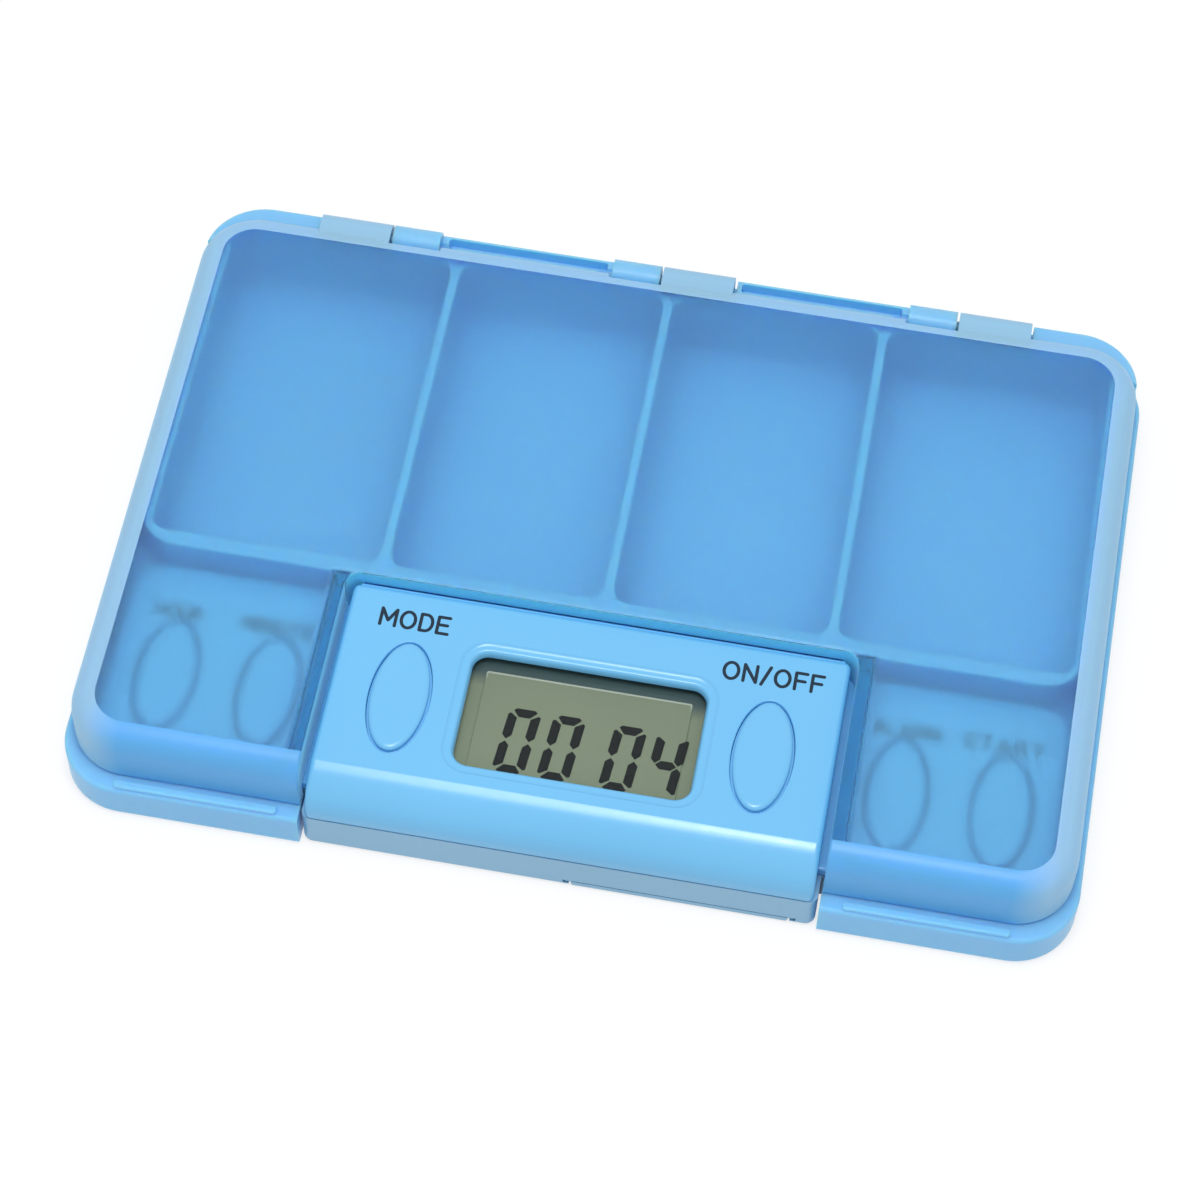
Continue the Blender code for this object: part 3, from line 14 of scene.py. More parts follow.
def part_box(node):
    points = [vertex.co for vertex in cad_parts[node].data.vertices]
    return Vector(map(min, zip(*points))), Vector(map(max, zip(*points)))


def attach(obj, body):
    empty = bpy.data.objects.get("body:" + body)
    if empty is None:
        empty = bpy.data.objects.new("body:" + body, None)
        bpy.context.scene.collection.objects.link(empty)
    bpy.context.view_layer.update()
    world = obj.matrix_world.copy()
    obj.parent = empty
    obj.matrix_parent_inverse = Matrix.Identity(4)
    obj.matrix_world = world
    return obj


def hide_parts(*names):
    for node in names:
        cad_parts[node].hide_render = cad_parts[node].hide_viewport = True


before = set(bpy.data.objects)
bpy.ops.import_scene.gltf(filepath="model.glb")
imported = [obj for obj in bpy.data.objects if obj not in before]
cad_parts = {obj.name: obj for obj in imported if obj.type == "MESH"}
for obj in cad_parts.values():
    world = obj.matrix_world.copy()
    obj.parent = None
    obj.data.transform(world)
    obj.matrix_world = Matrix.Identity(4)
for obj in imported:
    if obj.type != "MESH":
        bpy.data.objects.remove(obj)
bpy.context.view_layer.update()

MM = 0.001
OVERRUN = 2.0 * MM
GAP = 0.3 * MM
NEAR = MM / 100

# From the frame
TRAY_LOW, TRAY_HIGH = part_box("base_tray")
LID_LOW, LID_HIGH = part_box("lid")
TOP_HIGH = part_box("timer_top_shell")[1]
DOOR_LOW, DOOR_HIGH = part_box("battery_door")
LCD_LOW, LCD_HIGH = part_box("lcd_panel")
LENS_LOW, LENS_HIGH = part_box("lcd_window")
PIN_LOW, PIN_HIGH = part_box("hinge_pin_centre")
FRONT = TRAY_LOW.y
BACK = TRAY_HIGH.y
HALF_LENGTH = TRAY_HIGH.x

# Tray
TRAY_CORNER = 7.5 * MM
TRAY_FOOT_ROUND = 0.8 * MM
LEDGE_Z = 5.6 * MM
LEDGE_ROUND = 0.5 * MM
REAR_BLOCK_Z = 11.3 * MM
REAR_BLOCK_DEPTH = 6.5 * MM
REAR_BLOCK_FRONT = BACK - REAR_BLOCK_DEPTH
REAR_BLOCK_BACK = BACK - 0.1 * MM
REAR_BLOCK_HALF = HALF_LENGTH - 1.1 * MM
REAR_SLOT_WIDTH = 1.3 * MM
REAR_SLOT_DEPTH = 1.5 * MM
REAR_SLOT_RIM = 0.5 * MM
REAR_SLOT_END_GAP = 0.9 * MM
SLOT_ROUND = 0.12 * MM
WELL_HALF = 56.9 * MM
WELL_TOP_Z = 11.7 * MM
WELL_BACK = BACK - 3.3 * MM
WELL_WALL = 1.4 * MM
WELL_BACK_WALL = 1.5 * MM
WELL_CORNER = 5.0 * MM
RAIL_FRONT = FRONT + 30.4 * MM
RAIL_BACK = FRONT + 32.4 * MM
DIVIDER_SPACING = 27.0 * MM
DIVIDER_WALL = 1.2 * MM
COMPARTMENT_CORNER = 2.0 * MM
COMPARTMENT_FOOT_ROUND = 1.0 * MM
FLOOR_Z = 1.2 * MM
RIM_ROUND = 0.3 * MM
POCKET_HALF = 56.8 * MM
POCKET_FRONT = FRONT + 3.9 * MM
POCKET_FLOOR = 1.0 * MM
POCKET_CORNER = 4.5 * MM
BAY_HALF = 30.6 * MM
CORE_SKIN = 1.3 * MM
CORE_WIDTH = 1.6 * MM
CORE_END_MARGIN = 9.0 * MM
CORE_CORNER = CORE_WIDTH / 2 * 0.9
RIDGE_INNER = 33.2 * MM
RIDGE_OUTER = 52.6 * MM
RIDGE_SETBACK = 0.35 * MM
RIDGE_WIDTH = 1.0 * MM
RIDGE_HEIGHT = 0.6 * MM
RIDGE_CORNER = RIDGE_WIDTH * 0.4

# Lid
LID_HALF = LID_HIGH.x
LID_FRONT = LID_LOW.y
LID_PLATE_BACK = BACK - 2.3 * MM
LID_BOTTOM_Z = LID_LOW.z
LID_TOP_Z = LID_HIGH.z
LID_CEILING_Z = LID_TOP_Z - 1.4 * MM
LID_CORNER = 7.0 * MM
LID_TOP_ROUND = 3.0 * MM
LID_WALL = 1.7 * MM
LID_INNER_CORNER = 2.6 * MM
LID_INNER_ROUND = 0.8 * MM
LID_FROST_DEPTH = 0.8 * MM
NOTCH_HALF = 30.7 * MM
NOTCH_BACK = FRONT + 30.0 * MM
NOTCH_CORNER = 2.0 * MM
NOTCH_EDGE = 0.3 * MM
SKIRT_HALF = 32.2 * MM
SKIRT_END_Z = 7.7 * MM
EDGE_LOWEST_NORMAL = -0.95
EDGE_HIGHEST_NORMAL = math.cos(math.radians(4.0))
SKIRT_REAR_NORMAL = -0.3
SKIRT_HIGHEST_NORMAL = 0.5
RIM_LOWEST_NORMAL = 0.05

# Hinge
HINGE_Y = (PIN_LOW.y + PIN_HIGH.y) / 2
HINGE_Z = (PIN_LOW.z + PIN_HIGH.z) / 2
KNUCKLE_RADIUS = 1.75 * MM
BORE_RADIUS = 0.7 * MM
TRAY_KNUCKLE = 6.0 * MM
LID_KNUCKLE = 9.0 * MM
STATION_SPACING = 37.35 * MM
STATION_LENGTH = TRAY_KNUCKLE + GAP + LID_KNUCKLE

# Timer casing
MODULE_HALF = 29.8 * MM
MODULE_EDGE = 0.7 * MM
SHELL_FRONT = FRONT + 0.5 * MM
SHELL_BACK = FRONT + 29.4 * MM
WING_HALF = TOP_HIGH.x
WING_FRONT = FRONT + 4.2 * MM
WING_BACK = FRONT + 30.1 * MM
WING_CORNER = 4.2 * MM
DECK_Z = 7.4 * MM
DECK_UNDER_Z = 6.2 * MM
DECK_ROUND = 0.3 * MM
PANEL_Z = 12.0 * MM
PANEL_PLATE = 1.2 * MM
SHELL_WALL = 1.2 * MM
CREASE_SETBACK = 4.75 * MM
CREASE_ANGLE = math.radians(75.0)
NOSE_RISE = 0.8 * MM
PARTING_Z = 5.9 * MM
BACK_LIP_Z = 11.2 * MM
BACK_LIP_Y = FRONT + 29.9 * MM
SHELL_HALF = 30.3 * MM
SHELL_LIFT = 0.3 * MM
WING_FLOOR_Z = 1.3 * MM
WING_FLOOR_TOP_Z = 2.1 * MM
CENTRE_FLOOR_TOP_Z = 1.3 * MM
SHELL_FOOT_ROUND = 0.3 * MM
SCREW_BORE = 1.8 * MM
SCREW_HOLE = 1.1 * MM
PAD_RADIUS = 2.6 * MM
CASE_PAD_Z = 2.6 * MM
TRAY_PAD_Z = 2.0 * MM
SEAT_THICKNESS = 0.9 * MM
SOUND_X = -14.0 * MM
SOUND_Y = FRONT + 15.0 * MM
SOUND_RING = 3.0 * MM
SOUND_RADIUS = 0.6 * MM
SOUND_COUNT = 6

# Battery door
DOOR_RECESS_GAP = 0.2 * MM
DOOR_TONGUE = 0.7 * MM
DOOR_TONGUE_THICKNESS = 0.35 * MM
CELL_REACH = 6.1 * MM
CELL_CORNER = CELL_REACH * 0.98
CELL_HALF_SPACING = 6.1 * MM
CELL_Y = FRONT + 8.6 * MM
BAY_WALL = 0.9 * MM
BAY_TOP_Z = 4.5 * MM
BRIDGE_HALF_LENGTH = 9.2 * MM
BRIDGE_HALF_WIDTH = 2.4 * MM
BRIDGE_DEPTH = 0.45 * MM
GRIP_Y = FRONT + 6.0 * MM
GRIP_SPACING = 1.4 * MM
GRIP_LENGTH = 9.0 * MM
GRIP_WIDTH = 0.5 * MM
GRIP_CORNER = GRIP_WIDTH * 0.45
GRIP_DEPTH = 0.25 * MM
GRIP_COUNT = 4

# Buttons
BUTTON_GROOVE = 0.3 * MM
BUTTON_CROWN = 0.45 * MM
BUTTON_PROUD = 0.5 * MM
BUTTON_DISH = 0.12 * MM
BUTTON_STEP_GAP = 0.06 * MM
BUTTON_STEP_DEPTH = 0.45 * MM
DECK_GROOVE = 0.5 * MM
DECK_STEP_DEPTH = 0.8 * MM
BUTTON_FLANGE = 0.8 * MM
BUTTON_FLANGE_THICKNESS = 0.5 * MM
BUTTON_STEM_RADIUS = 1.5 * MM
CROWN_SPREAD = BUTTON_CROWN * 1.6
DISH_SHARES = (0.75, 0.5, 0.25, 0.06)

# Display
WINDOW_HALF_WIDTH = 13.9 * MM
WINDOW_FRONT = FRONT + 7.95 * MM
WINDOW_BACK = FRONT + 22.85 * MM
WINDOW_CORNER = 1.9 * MM
WINDOW_LIP = 0.55 * MM
WINDOW_LIP_DROP = 0.25 * MM
WINDOW_RIM = 0.9 * MM
COVER_HALF_WIDTH = 12.3 * MM
COVER_BACK = FRONT + 21.6 * MM
COVER_THICKNESS = 0.2 * MM
COVER_CHAMFER = 0.05 * MM
BEAD_WIDTH = 0.26 * MM
BEAD_HEIGHT = 0.08 * MM
BEAD_LEG = 0.95 * MM
BEAD_SECTION = ((-1.0, 0.0), (1.0, 0.0), (0.5, 0.8), (0.0, 1.0), (-0.5, 0.8))
LENS_CORNER = 1.0 * MM
LENS_ROUND = 0.1 * MM
SHADE_START = FRONT + 19.6 * MM
SHADE_END = FRONT + 21.6 * MM
DIGIT_STARTS = (-9.35 * MM, -4.1 * MM, 3.15 * MM, 8.2 * MM)
DIGIT_TEXT = "0004"
LIT_BARS = {"0": "abcdef", "4": "fgbc"}
DIGIT_Y = FRONT + 8.55 * MM
DIGIT_WIDTH = 3.85 * MM
DIGIT_HEIGHT = 8.7 * MM
DIGIT_STROKE = 1.12 * MM
DIGIT_GAP = 0.13 * MM
DIGIT_CORNER = 0.4 * MM
DIGIT_CUT = 0.3 * MM
DIGIT_SLANT = 0.08
INK_THICKNESS = 0.02 * MM

# Facets
CORNER_STEPS = 16
ROUND_STEPS = 6
RIM_STEPS = 3
CROWN_STEPS = 10
OVAL_STEPS = 80
CIRCLE_STEPS = 40
SMALL_CIRCLE_STEPS = 24
SHARP_ANGLE = math.radians(32.0)


def new_object(name, bm):
    """A bmesh as an object of its own in the scene."""
    bmesh.ops.recalc_face_normals(bm, faces=bm.faces)
    mesh = bpy.data.meshes.new(name)
    bm.to_mesh(mesh)
    bm.free()
    made = bpy.data.objects.new(name, mesh)
    bpy.context.scene.collection.objects.link(made)
    return made


def combine(target, bm, operation):
    """Cut a shape out of the target, or join it on, with a hidden tool."""
    tool = new_object(f"{target.name}.tool", bm)
    tool.hide_render = True
    step = target.modifiers.new(operation, "BOOLEAN")
    step.operation = operation
    step.solver = "EXACT"
    step.object = tool


def cut(target, bm):
    combine(target, bm, "DIFFERENCE")


def join(target, bm):
    combine(target, bm, "UNION")


def settle(target):
    """Apply the target's cuts and joins, and remove their tools."""
    bpy.context.view_layer.update()
    graph = bpy.context.evaluated_depsgraph_get()
    mesh = bpy.data.meshes.new_from_object(target.evaluated_get(graph))
    tools = [step.object for step in target.modifiers]
    target.modifiers.clear()
    target.data = mesh
    for tool in tools:
        bpy.data.objects.remove(tool)


def smooth(target):
    """Smooth shading that keeps sharp edges crisp and wide flats flat."""
    target.data.shade_smooth()
    target.data.set_sharp_from_angle(angle=SHARP_ANGLE)
    weigh = target.modifiers.new("weighted normals", "WEIGHTED_NORMAL")
    weigh.keep_sharp = True


def finish_piece(target, body, finish, nodes=()):
    """Shade a piece, give it its material and slot, and let it ride on its body."""
    smooth(target)
    target.data.materials.clear()
    target.data.materials.append(finish)
    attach(target, body)
    if nodes:
        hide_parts(*nodes)


def add_loft(bm, loops):
    """Add a closed solid through loops of equal length, capped at both ends."""
    rings = [[bm.verts.new(point) for point in loop] for loop in loops]
    for low, high in zip(rings, rings[1:]):
        for i in range(len(low)):
            j = (i + 1) % len(low)
            bm.faces.new((low[i], low[j], high[j], high[i]))
    bm.faces.new(list(reversed(rings[0])))
    bm.faces.new(rings[-1])


def loft(loops):
    """A closed solid of its own through loops of equal length."""
    bm = bmesh.new()
    add_loft(bm, loops)
    return bm


def flat_loops(outline, *heights):
    """An outline in plan, repeated at each height."""
    return [[(x, y, z) for x, y in outline] for z in heights]


def rounded_rect(x0, x1, y0, y1, radius, steps=CORNER_STEPS):
    """Counter-clockwise outline of a rectangle with round corners."""
    corners = (
        (x1 - radius, y0 + radius, -math.pi / 2),
        (x1 - radius, y1 - radius, 0.0),
        (x0 + radius, y1 - radius, math.pi / 2),
        (x0 + radius, y0 + radius, math.pi),
    )
    points = []
    for cx, cy, start in corners:
        for i in range(steps + 1):
            angle = start + math.pi / 2 * i / steps
            points.append((cx + radius * math.cos(angle), cy + radius * math.sin(angle)))
    return points


def edge_round(radius, steps=ROUND_STEPS):
    """Quarter circle as (inwards, along) distances, from the side to the face."""
    angles = [math.pi / 2 * i / steps for i in range(steps + 1)]
    return [(radius * (1 - math.cos(a)), radius * math.sin(a)) for a in angles]


def block_profile(z0, z1, top, bottom):
    """(inset, z) pairs up the side of a block with rounded top or bottom edges."""
    low = [(inset, z0 + bottom - along) for inset, along in reversed(edge_round(bottom))]
    high = [(inset, z1 - top + along) for inset, along in edge_round(top)]
    return (low if bottom else [(0.0, z0)]) + (high if top else [(0.0, z1)])


def stack(x0, x1, y0, y1, radius, profile, steps=CORNER_STEPS):
    """A solid through round-cornered rectangles, each drawn in by its (inset, z) pair."""
    loops = []
    for inset, z in profile:
        outline = rounded_rect(x0 + inset, x1 - inset, y0 + inset, y1 - inset, radius - inset, steps)
        loops += flat_loops(outline, z)
    return loft(loops)


def rounded_block(x0, x1, y0, y1, z0, z1, radius, top=0.0, bottom=0.0, steps=CORNER_STEPS):
    """A block with round corners in plan and rounded top or bottom edges."""
    return stack(x0, x1, y0, y1, radius, block_profile(z0, z1, top, bottom), steps)


def flared_block(x0, x1, y0, y1, z0, z1, radius, rim, bottom=0.0):
    """A cutter that leaves a rounded rim where it comes out of a face at z1."""
    profile = block_profile(z0, z1, 0.0, bottom)[:-1]
    profile += [(-inset, z1 - rim + along) for inset, along in edge_round(rim)]
    profile.append((-rim, z1 + OVERRUN))
    return stack(x0, x1, y0, y1, radius, profile, ROUND_STEPS)


def prism(outline, z0, z1):
    return loft(flat_loops(outline, z0, z1))


def box(x0, x1, y0, y1, z0, z1):
    return prism(((x0, y0), (x1, y0), (x1, y1), (x0, y1)), z0, z1)


def oval(x, y, sections, steps=OVAL_STEPS):
    """An elliptical solid; sections are (half width, half length, z) from low to high."""
    angles = [2 * math.pi * i / steps for i in range(steps)]
    loops = []
    for half_width, half_length, z in sections:
        loops.append([(x + half_width * math.cos(a), y + half_length * math.sin(a), z) for a in angles])
    return loft(loops)


def disc(x, y, sections, steps=CIRCLE_STEPS):
    """A turned solid on a vertical axis; sections are (radius, z) from low to high."""
    return oval(x, y, [(radius, radius, z) for radius, z in sections], steps)


def rod(x0, x1, y, z, radius, steps=CIRCLE_STEPS):
    """A round rod along X."""
    angles = [2 * math.pi * i / steps for i in range(steps)]
    section = [(y + radius * math.cos(a), z + radius * math.sin(a)) for a in angles]
    return loft([[(x, ry, rz) for ry, rz in section] for x in (x0, x1)])


def bevel_edges(target, chosen, width):
    """Round the edges of the target for which chosen says yes."""
    bm = bmesh.new()
    bm.from_mesh(target.data)
    bmesh.ops.remove_doubles(bm, verts=bm.verts, dist=NEAR / 10)
    edges = [e for e in bm.edges if len(e.link_faces) == 2 and chosen(e)]
    bmesh.ops.bevel(
        bm, geom=edges, offset=width, segments=RIM_STEPS, profile=0.5, affect="EDGES",
        clamp_overlap=False,
    )
    bm.to_mesh(target.data)
    bm.free()


def stations():
    """The hinge stations: start of the tray knuckle and start of the lid knuckle."""
    left = -STATION_SPACING - STATION_LENGTH / 2
    yield left + LID_KNUCKLE + GAP, left
    for centre in (0.0, STATION_SPACING):
        start = centre - STATION_LENGTH / 2
        yield start, start + TRAY_KNUCKLE + GAP


def compartments():
    """X limits of the four compartments."""
    inner = WELL_HALF - WELL_WALL
    walls = [-DIVIDER_SPACING, 0.0, DIVIDER_SPACING]
    starts = [-inner] + [x + DIVIDER_WALL / 2 for x in walls]
    ends = [x - DIVIDER_WALL / 2 for x in walls] + [inner]
    return list(zip(starts, ends))


def plan_centre(node):
    """Centre of a node in plan."""
    low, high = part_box(node)
    return (low.x + high.x) / 2, (low.y + high.y) / 2


def cut_screw_seat(target, x, y, seat_z, end_z):
    """A counterbore from below and a clearance hole above it."""
    cut(target, disc(x, y, ((SCREW_BORE, -OVERRUN), (SCREW_BORE, seat_z))))
    cut(target, disc(x, y, ((SCREW_HOLE, 0.0), (SCREW_HOLE, end_z)), SMALL_CIRCLE_STEPS))


def build_tray(finish):
    """The tray: foot, rear block, compartment wells, module bay and hinge knuckles."""
    tray = new_object("tray", rounded_block(
        -HALF_LENGTH, HALF_LENGTH, FRONT, BACK, 0.0, LEDGE_Z, TRAY_CORNER,
        top=LEDGE_ROUND, bottom=TRAY_FOOT_ROUND,
    ))
    join(tray, rear_block())
    join(tray, rounded_block(
        -WELL_HALF, WELL_HALF, RAIL_FRONT, WELL_BACK, FLOOR_Z, WELL_TOP_Z, WELL_CORNER, top=RIM_ROUND,
    ))
    for x0, x1 in compartments():
        cut(tray, flared_block(
            x0, x1, RAIL_BACK, WELL_BACK - WELL_BACK_WALL, FLOOR_Z, WELL_TOP_Z,
            COMPARTMENT_CORNER, RIM_ROUND, bottom=COMPARTMENT_FOOT_ROUND,
        ))
    cut(tray, rounded_block(
        -POCKET_HALF, POCKET_HALF, POCKET_FRONT, RAIL_FRONT, POCKET_FLOOR, WELL_TOP_Z + OVERRUN,
        POCKET_CORNER,
    ))
    cut(tray, box(-BAY_HALF, BAY_HALF, FRONT - OVERRUN, RAIL_FRONT, -OVERRUN, WELL_TOP_Z + OVERRUN))
    add_core_slots(tray)
    add_rear_slots(tray)
    for side in (-1, 1):
        ends = sorted((side * RIDGE_INNER, side * RIDGE_OUTER))
        y0 = FRONT + RIDGE_SETBACK
        join(tray, rounded_block(
            ends[0], ends[1], y0, y0 + RIDGE_WIDTH, LEDGE_Z / 2, LEDGE_Z + RIDGE_HEIGHT,
            RIDGE_CORNER, top=RIDGE_WIDTH / 4, steps=ROUND_STEPS,
        ))
    for place in ("left", "right"):
        x, y = plan_centre(f"tray_screw_{place}")
        join(tray, disc(x, y, ((PAD_RADIUS, POCKET_FLOOR / 2), (PAD_RADIUS, TRAY_PAD_Z))))
        cut_screw_seat(tray, x, y, TRAY_PAD_Z - SEAT_THICKNESS, TRAY_PAD_Z + OVERRUN)
    add_tray_knuckles(tray)
    settle(tray)
    finish_piece(tray, "case", finish, ["base_tray"])


def rear_block():
    """The block along the tray's rear that carries the hinge, with round rear corners."""
    centre_x = REAR_BLOCK_HALF - TRAY_CORNER
    centre_y = REAR_BLOCK_BACK - TRAY_CORNER
    loops = []
    for inset, z in block_profile(LEDGE_Z / 2, REAR_BLOCK_Z, LEDGE_ROUND, 0.0):
        radius = TRAY_CORNER - inset
        start = math.asin((REAR_BLOCK_FRONT + inset - centre_y) / radius)
        arc = []
        for i in range(CORNER_STEPS + 1):
            angle = start + (math.pi / 2 - start) * i / CORNER_STEPS
            arc.append((centre_x + radius * math.cos(angle), centre_y + radius * math.sin(angle)))
        loops += flat_loops(arc + [(-x, y) for x, y in reversed(arc)], z)
    return loft(loops)


def add_rear_slots(tray):
    """Slots in the rear block's top, between the hinge stations."""
    starts = [min(places) for places in stations()]
    y1 = REAR_BLOCK_BACK - REAR_SLOT_RIM
    for before, after in zip(starts, starts[1:]):
        cut(tray, flared_block(
            before + STATION_LENGTH + REAR_SLOT_END_GAP, after - REAR_SLOT_END_GAP,
            y1 - REAR_SLOT_WIDTH, y1, REAR_BLOCK_Z - REAR_SLOT_DEPTH, REAR_BLOCK_Z,
            REAR_SLOT_WIDTH / 4, SLOT_ROUND,
        ))


def add_core_slots(tray):
    """Slots under the thick side and rear walls, open below."""
    half = CORE_WIDTH / 2
    y = BACK - CORE_SKIN - half
    reach = HALF_LENGTH - CORE_END_MARGIN
    slots = [(-reach, reach, y - half, y + half)]
    for side in (1, -1):
        x = side * (HALF_LENGTH - CORE_SKIN - half)
        slots.insert(0, (x - half, x + half, RAIL_BACK, BACK - CORE_END_MARGIN))
    for slot in slots:
        cut(tray, prism(rounded_rect(*slot, CORE_CORNER, ROUND_STEPS), -OVERRUN, LEDGE_Z - CORE_SKIN))


def knuckle_ends(start, length, other_start):
    """Ends of a knuckle, run on towards the other one so that a cut trims it there."""
    if other_start < start:
        return start - GAP, start + length
    return start, start + length + GAP


def add_tray_knuckles(tray):
    """Knuckles that stand on the rear block, and the pockets for the lid's knuckles."""
    swing = KNUCKLE_RADIUS + GAP
    for tray_x, lid_x in stations():
        start, end = knuckle_ends(tray_x, TRAY_KNUCKLE, lid_x)
        join(tray, rod(start, end, HINGE_Y, HINGE_Z, KNUCKLE_RADIUS))
        x0 = lid_x - GAP
        x1 = lid_x + LID_KNUCKLE + GAP
        cut(tray, rod(x0, x1, HINGE_Y, HINGE_Z, swing))
        cut(tray, box(x0, x1, HINGE_Y, BACK + OVERRUN, HINGE_Z - swing, HINGE_Z + swing))
        cut(tray, box(x0, x1, HINGE_Y - swing, HINGE_Y + swing, HINGE_Z, HINGE_Z + swing + OVERRUN))
        cut(tray, rod(
            tray_x - OVERRUN, tray_x + TRAY_KNUCKLE + OVERRUN, HINGE_Y, HINGE_Z, BORE_RADIUS,
            steps=SMALL_CIRCLE_STEPS,
        ))


def build_lid(finish, hinge_finish, edge_finish, skirt_finish):
    """The frosted lid: shell, notch for the timer with side skirts, and knuckles."""
    lid = new_object("lid_shell", rounded_block(
        -LID_HALF, LID_HALF, LID_FRONT, LID_PLATE_BACK, LID_BOTTOM_Z, LID_TOP_Z, LID_CORNER,
        top=LID_TOP_ROUND, bottom=NOTCH_EDGE / 2,
    ))
    inner = LID_HALF - LID_WALL
    floor = LID_BOTTOM_Z - OVERRUN
    cut(lid, rounded_block(
        -inner, inner, NOTCH_BACK, BACK + TRAY_CORNER, floor, LID_CEILING_Z, LID_INNER_CORNER,
        top=LID_INNER_ROUND,
    ))
    for side in (-1, 1):
        ends = sorted((side * SKIRT_HALF, side * inner))
        cut(lid, rounded_block(
            ends[0], ends[1], LID_FRONT + LID_WALL, RAIL_BACK + LID_INNER_CORNER, floor,
            LID_CEILING_Z, LID_INNER_CORNER, top=LID_INNER_ROUND,
        ))
    end_x = SKIRT_HALF + LID_INNER_CORNER
    cut(lid, box(-end_x, end_x, LID_FRONT + LID_WALL, NOTCH_BACK + OVERRUN, floor, SKIRT_END_Z))
    cut(lid, rounded_block(
        -NOTCH_HALF, NOTCH_HALF, LID_FRONT - OVERRUN - NOTCH_CORNER, NOTCH_BACK, floor,
        LID_TOP_Z + OVERRUN, NOTCH_CORNER,
    ))
    cut(lid, box(
        -LID_HALF - OVERRUN, LID_HALF + OVERRUN, REAR_BLOCK_FRONT - 2 * GAP, BACK + OVERRUN,
        floor, REAR_BLOCK_Z + GAP,
    ))
    add_lid_knuckles(lid)
    settle(lid)
    bevel_edges(lid, on_notch_rim, NOTCH_EDGE)
    finish_piece(lid, "lid", finish, ["lid"])
    for other in (hinge_finish, edge_finish, skirt_finish):
        lid.data.materials.append(other)
    starts = [places[1] for places in stations()]
    for face in lid.data.polygons:
        if on_lid_knuckle(face, starts):
            face.material_index = 1
        elif on_lid_edge(face):
            face.material_index = 2
        elif on_lid_skirt(face):
            face.material_index = 3


def on_lid_knuckle(face, starts):
    """True for the faces of the lid's hinge knuckles and their webs."""
    x, y, z = face.center
    beside = any(start - NEAR < x < start + LID_KNUCKLE + NEAR for start in starts)
    return beside and y > HINGE_Y - KNUCKLE_RADIUS - GAP and z < HINGE_Z + KNUCKLE_RADIUS + NEAR


def on_lid_edge(face):
    """True for the lid's outer walls and the steeper part of its rounded top edge."""
    x, y, z = face.center
    side = max(abs(x) - (LID_HALF - LID_CORNER), 0.0)
    front = max(LID_FRONT + LID_CORNER - y, 0.0)
    rear = max(y - (LID_PLATE_BACK - LID_CORNER), 0.0)
    inset = LID_CORNER - max(math.hypot(side, front), math.hypot(side, rear))
    outward = Vector((math.copysign(side, x), rear - front, 0.0))
    if inset > LID_TOP_ROUND or face.normal.dot(outward) <= 0.0:
        return False
    if rear and z < REAR_BLOCK_Z + GAP:
        return False
    return EDGE_LOWEST_NORMAL < face.normal.z < EDGE_HIGHEST_NORMAL


def on_lid_skirt(face):
    """True for the walls along the notch's sides and the plate's edge behind the timer."""
    x, y = face.center.xy
    beside = NOTCH_HALF - NEAR < abs(x) < SKIRT_HALF + NEAR
    behind = abs(x) < NOTCH_HALF and face.normal.y < SKIRT_REAR_NORMAL
    return (beside or behind) and y < NOTCH_BACK + NEAR and face.normal.z < SKIRT_HIGHEST_NORMAL


def on_notch_rim(edge):
    """True for the lid's outer edges along the notch."""
    for vert in edge.verts:
        x, y, z = vert.co
        side = abs(abs(x) - NOTCH_HALF) < NEAR
        rear = abs(y - NOTCH_BACK) < NEAR and abs(x) < NOTCH_HALF
        corner_x = abs(x) - (NOTCH_HALF - NOTCH_CORNER)
        corner_y = y - (NOTCH_BACK - NOTCH_CORNER)
        off_arc = abs(math.hypot(corner_x, corner_y) - NOTCH_CORNER)
        turn = corner_x > 0 and corner_y > 0 and off_arc < 5 * NEAR
        if not (side or rear or turn) or z < SKIRT_END_Z + GAP:
            return False
    first, second = edge.link_faces
    upward = max(first.normal.z, second.normal.z) > RIM_LOWEST_NORMAL
    return first.normal.angle(second.normal, 0.0) > SHARP_ANGLE and upward


def add_lid_knuckles(lid):
    """Knuckles behind the plate, each on a short web, clear of the tray's knuckles."""
    swing = KNUCKLE_RADIUS + GAP
    for tray_x, lid_x in stations():
        start, end = knuckle_ends(lid_x, LID_KNUCKLE, tray_x)
        join(lid, box(
            start, end, HINGE_Y - KNUCKLE_RADIUS - GAP / 3, HINGE_Y, LID_CEILING_Z,
            HINGE_Z + KNUCKLE_RADIUS,
        ))
        join(lid, rod(start, end, HINGE_Y, HINGE_Z, KNUCKLE_RADIUS))
        cut(lid, box(
            tray_x - GAP, tray_x + TRAY_KNUCKLE + GAP, HINGE_Y - swing, BACK + OVERRUN,
            HINGE_Z - swing, LID_TOP_Z + OVERRUN,
        ))
        cut(lid, rod(
            lid_x - OVERRUN, lid_x + LID_KNUCKLE + OVERRUN, HINGE_Y, HINGE_Z, BORE_RADIUS,
            steps=SMALL_CIRCLE_STEPS,
        ))


